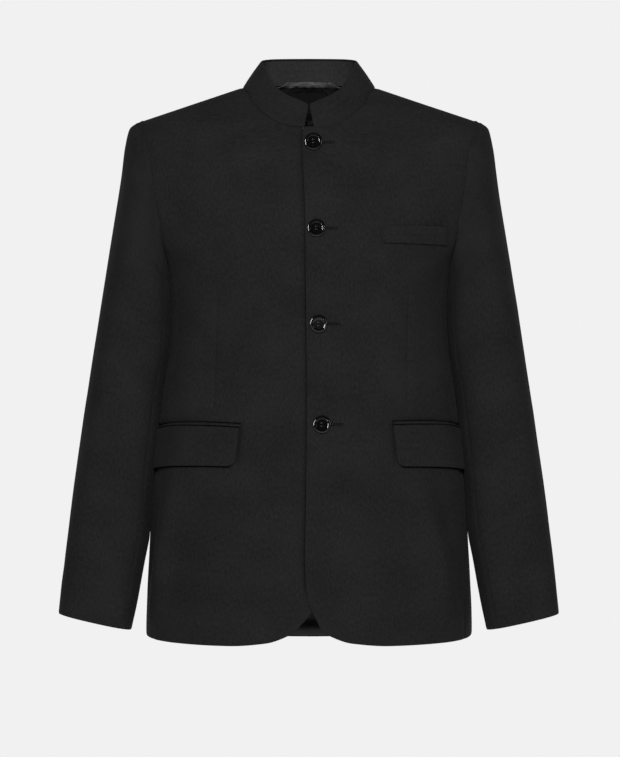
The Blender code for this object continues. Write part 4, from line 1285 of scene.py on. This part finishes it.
def flap_piece(flap):
    u, v = shares(MOUTH_LENGTH, FINE_STEP), shares(FLAP_HEIGHT, FINE_STEP)[:, None]
    top, hem = bowed(flap.top_z, u), bowed(flap.hem_z, u)
    top_turns, hem_turns = (
        mix(turn_at_x(x, line[0]), flap.rear, u)
        for x, line in ((flap.top_x, top), (flap.hem_x, hem))
    )
    inside = np.clip(FLAP_CORNER - u * MOUTH_LENGTH, 0, FLAP_CORNER)
    hem = hem + FLAP_CORNER - np.sqrt(FLAP_CORNER ** 2 - inside ** 2)
    turns, z = mix(hem_turns, top_turns, v), mix(hem, top, v)
    flat = body(turns, z)
    out = ON_CLOTH + FLAP + FLAP_LIFT * (1 - v) ** 1.5
    out = out - from_edges(flat, ("bottom", "inner", "outer"), *FLAP_ROLL)
    out = out - from_edges(flat, ("top",), *FLAP_SEAM)
    laid(flap.word + "_pocket_flap", "flap_" + flap.word, flap.side, turns, z, out, FLAP, 0.0007)


def jet_piece(flap):
    u, v = shares(MOUTH_LENGTH, FINE_STEP), np.linspace(0, 1, 11)[:, None]
    room = JET_IN * (1 + MOUTH_SPREAD * u)
    low = bowed(flap.top_z, u) + room
    turns = mix(turn_at_x(flap.top_x, low[0]), flap.rear, u) + 0 * v
    z = low + (JET_HEIGHT - 2 * room) * v
    out = JET_OUT - JET_ROLL * np.abs(2 * v - 1) ** 3 - JET_SINK * u ** 2
    laid(flap.word + "_pocket_jet", "jet_" + flap.word, flap.side, turns, z, out, STRIP, 0.0003)


def welt_piece():
    u, v = shares(WELT_LENGTH, FINE_STEP), shares(WELT_HEIGHT, LOW_STEP)[:, None]
    z = mix(mix(*WELT_HEM_Z, u), mix(*WELT_TOP_Z, u), v)
    turns = turn_at_x(mix(*WELT_X, u), z)
    out = ON_CLOTH + WELT_LIFT - from_edges(body(turns, z), ("inner", "outer"), *WELT_ROLL)
    laid("breast_pocket_welt", "breast_welt", 1, turns, z, out, STRIP, 0.0004)


for flap in FLAPS:
    flap_piece(flap)
    jet_piece(flap)
welt_piece()
print("flap is", [round(x, 3) for x in made_cloth["flap_left"]["cut"][:2]], "m")

# %% [markdown]
# ## Inside
#
# Only the back's lining shows, through the neck and above the back's hem. A satin tape, its
# shine painted into its pale colour, covers the collar seam inside the neck, and a plain
# label is sewn below it.

# %% Lining, tape and label
LINING_HEM, LINING_TOP = 0.0052, 0.0022
LINING_CUT = 5          # columns of the back's grid, at its outer edge, that have no lining
PLEAT, PLEAT_Z, PLEAT_WIDTH = 0.0040, 0.0045, 0.0040
TAPE_TURN, TAPE_Z = 44.0, (0.0086, 0.0152)
LABEL_TURN, LABEL_Z = 15.0, (-0.0240, 0.0010)


def back_lining():
    """Lining on the same form as the two back halves, with a small pleat at its hem."""
    half = back[::2, :-LINING_CUT:2].copy()
    half[0, :, 1] += LINING_HEM
    half[-1, :, 1] -= LINING_TOP
    other = half[:, :0:-1] * (-1, 1) + (360, 0)
    grid = np.concatenate((other, half), axis=1)
    turn, z = grid[..., 0], grid[..., 1]
    point, normal = on_form(turn, z)
    wrinkle = unevenness((turn - 180) * TURN_LENGTH, z * 0.4, 0.022, 21)
    pleat = PLEAT * np.exp(-((z - z[:1] - PLEAT_Z) / PLEAT_WIDTH) ** 2)
    inwards = -(CLOTH + IN_CLOTH) - 0.0002 - 0.0012 * (1 + wrinkle) - pleat
    cloth("satin_back_lining", "back_lining", raised(point, normal, inwards), normal,
          LINING, lining_satin, 0.0003)


def inside_strip(name, node, half_turn, heights, bulge, finish):
    """A short strip sewn inside the back of the neck."""
    turns = np.linspace(180 - half_turn, 180 + half_turn, 90)
    v = np.linspace(0, 1, 13)[:, None]
    across = (turns - 180) * TURN_LENGTH
    ease = unevenness(across, 0 * turns, 0.016, 33)
    z = (heights[0] + bulge * ease) * (1 - v) + heights[1] * v
    point, normal = on_form(turns + 0 * z, z)
    wrinkle = unevenness((across + 0 * z) * 0.35, z * 2.5, 0.006, 31) * bulge * 0.5
    under = CLOTH + IN_CLOTH + LINING + ON_LINING + 0.0012
    sheet = raised(point, normal, -under - bulge * np.sin(np.pi * v) - wrinkle)
    cloth(name, node, sheet, normal, 0.0007, finish, 0.0002)


back_lining()
inside_strip("neck_tape", "hanger_tape", TAPE_TURN, TAPE_Z, 0.0012, tape_satin_painted_sheen)
inside_strip("blank_label", "neck_label", LABEL_TURN, LABEL_Z, 0.0004, label_satin)

# %% [markdown]
# ## Buttons
#
# A suit button is turned: a raised rim around a dished well with four holes. It is made
# once from a disc, by insets that go up over the rim and down into the well, then bevelled
# and drilled, and copied to its four places.

# %% One button
BUTTON_PLACES = ((0.0058, -0.0791), (0.0096, -0.1911), (0.0126, -0.3133), (0.0167, -0.4425))
BUTTON_RADIUS, BUTTON_THICK = 0.0115, 0.0036
BLANK_THICK = BUTTON_THICK * 0.62       # of the disc, before its rim is raised
HOLE_RADIUS, HOLE_SPREAD = 0.0010, 0.0019
BUTTON_LIFT = 0.0006
BUTTON_DROOP = (13.0, 4.0, 2.0, 0.0)     # degrees that each hangs forward on its thread shank
# Each inset of the front face: how far in and up, in shares of the radius and twice the height
RIM_INSETS = ((0.03, 0.075), (0.05, 0.070), (0.08, 0.050), (0.08, 0.015), (0.03, -0.030),
              (0.04, -0.120), (0.05, -0.060), (0.12, -0.015))


def button_blank():
    all_off()
    bpy.ops.mesh.primitive_cylinder_add(
        vertices=72, radius=BUTTON_RADIUS, depth=BLANK_THICK,
        location=(0, 0, BLANK_THICK / 2), end_fill_type="NGON",
    )
    made = bpy.context.active_object
    mesh = made.data
    bpy.ops.object.mode_set(mode="EDIT")
    bpy.ops.mesh.select_mode(type="FACE")
    edit = bmesh.from_edit_mesh(mesh)
    for face in edit.faces:
        face.select_set(face.normal.z > 0.9)
    bmesh.update_edit_mesh(mesh)
    for thickness, depth in RIM_INSETS:
        bpy.ops.mesh.inset(thickness=thickness * BUTTON_RADIUS, depth=depth * BUTTON_THICK * 2)
    for face in edit.faces:
        face.select_set(face.normal.z < -0.9)
    bmesh.update_edit_mesh(mesh)
    bpy.ops.mesh.inset(thickness=0.2 * BUTTON_RADIUS, depth=0.0003)
    bpy.ops.object.mode_set(mode="OBJECT")
    soft = made.modifiers.new("polished edges", "BEVEL")
    soft.width, soft.segments = 0.00022, 3
    soft.limit_method, soft.angle_limit = "ANGLE", math.radians(25)
    finish_modifiers(made)
    return made


def drill(made):
    for sx, sy in ((-1, -1), (-1, 1), (1, -1), (1, 1)):
        all_off()
        bpy.ops.mesh.primitive_cylinder_add(
            vertices=20, radius=HOLE_RADIUS, depth=4 * BUTTON_THICK,
            location=(sx * HOLE_SPREAD, sy * HOLE_SPREAD, 0),
        )
        bit = bpy.context.active_object
        hole = made.modifiers.new("hole", "BOOLEAN")
        hole.operation, hole.object = "DIFFERENCE", bit
        finish_modifiers(made)
        bpy.data.objects.remove(bit)
    only(made)
    bpy.ops.object.shade_smooth_by_angle(angle=math.radians(35))


blank = button_blank()
drill(blank)
blank.data.materials.clear()
blank.data.materials.append(button_resin)
print("one button has", len(blank.data.polygons), "faces")


# %% Buttons and their threads
def button_seat(x, z, droop):
    """Where a button's back lies on the over front, as a matrix."""
    turn = turn_at_x(x, z)
    point, normal = (Vector(v) for v in on_form(turn, z))
    seat = point + normal * (LAP + BUTTON_LIFT + BUTTON_RADIUS * math.sin(droop * DEGREE))
    turned = normal.to_track_quat("Z", "Y").to_matrix().to_4x4()
    return Matrix.Translation(seat) @ turned @ Matrix.Rotation(droop * DEGREE, 4, "X")


def add_object(name, data):
    made = bpy.data.objects.new(name, data)
    bpy.context.collection.objects.link(made)
    return made


def place_mesh(source, name, matrix):
    """A copy with its own mesh, its place in the mesh, and its object at the origin."""
    made = source.copy()
    made.data = source.data.copy()
    made.name = made.data.name = name
    bpy.context.collection.objects.link(made)
    made.data.transform(matrix)
    made.matrix_world = Matrix.Identity(4)
    return made


def tube(name, lines, radius, finish, sides=6):
    """Many short round threads as one mesh; each line is a list of points."""
    build = bmesh.new()
    for line in lines:
        points = [Vector(p) for p in line]
        rings = []
        for i, point in enumerate(points):
            way = (points[min(i + 1, len(points) - 1)] - points[max(i - 1, 0)]).normalized()
            side = way.cross(Vector((0.31, 0.17, 0.93))).normalized()
            other = way.cross(side)
            end = i in (0, len(points) - 1)
            size = radius * (0.45 if end and len(points) > 2 else 1.0)
            rings.append([
                build.verts.new(point + (side * math.cos(a) + other * math.sin(a)) * size)
                for a in (2 * math.pi * k / sides for k in range(sides))
            ])
        for low, high in zip(rings, rings[1:]):
            for k in range(sides):
                build.faces.new((low[k], low[(k + 1) % sides], high[(k + 1) % sides], high[k]))
        build.faces.new(rings[0][::-1])
        build.faces.new(rings[-1])
    bmesh.ops.recalc_face_normals(build, faces=build.faces)
    mesh = bpy.data.meshes.new(name)
    build.to_mesh(mesh)
    build.free()
    mesh.shade_smooth()
    mesh.materials.append(finish)
    return add_object(name, mesh)


WELL_Z = BLANK_THICK + BUTTON_THICK * 2 * sum(depth for _, depth in RIM_INSETS)
# Bend of a thread over the bridge between two holes: x, and height above the well
THREAD_BEND = (
    (-HOLE_SPREAD - 0.0002, -0.0009), (-HOLE_SPREAD + 0.0003, 0.00015), (0, 0.0004),
    (HOLE_SPREAD - 0.0003, 0.00015), (HOLE_SPREAD + 0.0002, -0.0009),
)
buttons, threads = [], []
for number, (x, z) in enumerate(BUTTON_PLACES, start=1):
    seat = button_seat(x, z, BUTTON_DROOP[number - 1])
    made = place_mesh(blank, "resin_button_%d" % number, seat)
    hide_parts("button_%d" % number)
    buttons.append(made)
    strands = [
        [seat @ Vector((x, sy * HOLE_SPREAD + shift, WELL_Z + rise)) for x, rise in THREAD_BEND]
        for sy in (-1, 1) for shift in (-0.00035, 0.0, 0.00035)
    ]
    threads.append(tube("button_thread_%d" % number, strands, 0.00022, shank_thread))
bpy.data.objects.remove(blank)

# %% [markdown]
# ## Stitches
#
# Buttonholes are worked over with silk twist, each stitch side by side around the slit.
# The front edge has a line of tiny hand stitches, called pick stitching, that hold the
# layers flat. Both are many short threads, so they are worked out by loops.

# %% Buttonholes
HOLE_START, HOLE_END = -0.0015, 0.0245   # along the slit from the button's middle
STITCH_PITCH = 0.00062
STITCH_REACH = 0.0021
BAR_THREADS, BAR_START, BAR_PITCH = 5, 0.0006, 0.00045  # the bar across the slit's end


def on_front(x, z, out=0.0):
    """A point on the outer side of the over front."""
    turn = turn_at_x(np.asarray(x, float), np.asarray(z, float))
    point, normal = on_form(turn, z)
    lift = relief(turn, z) + LAP * fade(point[..., 0], LAP_FULL, LAP_GONE) + out
    return raised(point, normal, lift)


def stitch(x, z, *bends):
    """A thread up or down the front from a place: offsets in height, and out of the cloth."""
    return [on_front(x, z + off, out) for off, out in bends]


holes = []
for number, (x, z) in enumerate(BUTTON_PLACES, start=1):
    bars = []
    count = int((HOLE_END - HOLE_START) / STITCH_PITCH)
    for i in range(count + 1):
        at = x + HOLE_START + i * STITCH_PITCH
        for way in (-1, 1):
            near, far = 0.00035, STITCH_REACH * (1 + 0.06 * math.sin(i * 2.4 + way))
            bars.append(stitch(
                at, z, (way * near, 0.0001), (way * (near + 0.0003), 0.00055),
                (way * far * 0.6, 0.00040), (way * far, -0.0001),
            ))
    for i in range(BAR_THREADS):
        at = x + HOLE_END + BAR_START + i * BAR_PITCH
        bars.append(stitch(
            at, z, (-0.0017, -0.0001), (-0.0008, 0.0005), (0.0008, 0.0005), (0.0017, -0.0001)))
    holes.append(tube("buttonhole_%d" % number, bars, 0.00027, silk_twist, sides=5))
print("one buttonhole has", len(holes[0].data.polygons), "faces")

# %% Pick stitching
PICK_PITCH = 0.0040
PICK_IN = 0.0055        # from the front edge to the line of stitches
PICK_LENGTH = 0.0011

edge_z = np.linspace(OVER_EDGE[0].z + 0.012, OVER_EDGE[-1].z - 0.004, 600)
edge_line = on_front(smooth(OVER_EDGE, "x", edge_z) + PICK_IN, edge_z)
far = along(edge_line)
picks = []
for at in np.arange(0.0, far[-1], PICK_PITCH):
    low, high = (np.interp(min(a, far[-1]), far, edge_z) for a in (at, at + PICK_LENGTH))
    z = np.linspace(low, high, 4)
    x = smooth(OVER_EDGE, "x", z) + PICK_IN
    picks.append([on_front(*bend) for bend in zip(x, z, (-0.0002, 0.0002, 0.0002, -0.0002))])
pick_line = tube("front_pick_stitching", picks, 0.00027, pick_thread, sides=5)
print(len(picks), "pick stitches")

# %% [markdown]
# ## What each piece stands for
#
# Every new piece rides on the jacket's one body. Each piece of cloth and each button hides
# the plain solid that it stands for; the hook and eye keep their solids and get a steel
# finish. Cloth also says what size it was cut to.

# %% Attaching the pieces
slots = dict.fromkeys(("back_lining", "hanger_tape", "neck_label"), "lining")
for node, made in made_cloth.items():
    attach(made, "root")
    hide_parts(node)
for made in (*buttons, *threads, *holes, pick_line):
    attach(made, "root")
for name in ("collar_hook", "collar_eye"):
    kept = frame["nodes"][name]
    kept.data.materials.clear()
    kept.data.materials.append(hook_steel)

# %% [markdown]
# ## Studio
#
# A pale room, one large soft light above and in front, two behind, and two narrow ones at
# the sides, which shine on the buttons and their threads alone, for the bright rims. The
# camera is level, four metres away.

# %% Stage, lights and camera
PALE = linear("#f1f1f1")
FLOOR_Z = -1.45
MIDDLE = (0.0, 0.0, -0.35)


def pale_floor():
    all_off()
    bpy.ops.mesh.primitive_plane_add(size=60, location=(0, 0, FLOOR_Z))
    made = bpy.context.active_object
    made.name = "pale_floor"
    paint, tree, shader = new_material("pale_paint", Base_Color=linear("#c8c8c8"), Roughness=0.9)
    glow = add_node(tree, "ShaderNodeEmission", {"Color": PALE, "Strength": 1.0}).outputs[0]
    ray = add_node(tree, "ShaderNodeLightPath").outputs["Is Camera Ray"]
    clear = add_node(tree, "ShaderNodeBsdfTransparent").outputs[0]
    seen_from_below = add_node(tree, "ShaderNodeNewGeometry").outputs["Backfacing"]
    mixed = shader.outputs[0]
    for share, other in ((ray, glow), (seen_from_below, clear)):
        mixed = add_node(tree, "ShaderNodeMixShader", {0: share, 1: mixed, 2: other}).outputs[0]
    tree.links.new(mixed, tree.nodes["Material Output"].inputs["Surface"])
    made.data.materials.append(paint)


def soft_light(name, place, size, power, only_on=()):
    """A soft light aimed at the jacket's middle; only_on are the pieces that it lights."""
    light = bpy.data.lights.new(name, "AREA")
    light.shape = "RECTANGLE"
    light.size, light.size_y = size
    light.energy = power
    made = add_object(name, light)
    made.location = place
    made.rotation_euler = (Vector(MIDDLE) - Vector(place)).to_track_quat("-Z", "Y").to_euler()
    made.visible_glossy = bool(only_on)
    if only_on:
        lit = bpy.data.collections.new(name + "_lights")
        for piece in only_on:
            lit.objects.link(piece)
        made.light_linking.receiver_collection = lit


def pale_room():
    room = bpy.data.worlds.new("pale_room")
    bpy.context.scene.world = room
    room.use_nodes = True
    tree = room.node_tree
    ray = add_node(tree, "ShaderNodeLightPath").outputs
    mixed, dark, seen = (
        add_node(tree, "ShaderNodeBackground", {"Color": PALE, "Strength": strength}).outputs[0]
        for strength in (0.32, 0.05, 1.0)
    )
    for kind, other in (("Is Glossy Ray", dark), ("Is Camera Ray", seen)):
        mixed = add_node(tree, "ShaderNodeMixShader",
                         {0: ray[kind], 1: mixed, 2: other}).outputs[0]
    tree.links.new(mixed, tree.nodes["World Output"].inputs["Surface"])


pale_floor()
pale_room()
soft_light("front", (0.12, -3.9, 1.35), (2.4, 1.8), 204)
soft_light("left_strip", (-2.4, -1.2, 0.25), (0.4, 1.8), 150, (*buttons, *threads))
soft_light("right_strip", (2.4, -1.4, 0.25), (0.3, 1.4), 10, (*buttons, *threads))
soft_light("back_left", (-2.2, 3.2, 0.8), (1.8, 1.8), 60)
soft_light("back_right", (2.2, 3.2, 0.8), (1.8, 1.8), 60)

bpy.context.scene.view_settings.view_transform = "Standard"
CAMERA_PLACE = (0.0013, -4.0, -0.38346)
lens = bpy.data.cameras.new("camera")
lens.lens, lens.sensor_width = 144.1, 36.0
camera = add_object("camera", lens)
camera.location = CAMERA_PLACE
camera.rotation_euler = (math.radians(90), 0, 0)
bpy.context.scene.camera = camera

# %% The end
bpy.context.view_layer.update()
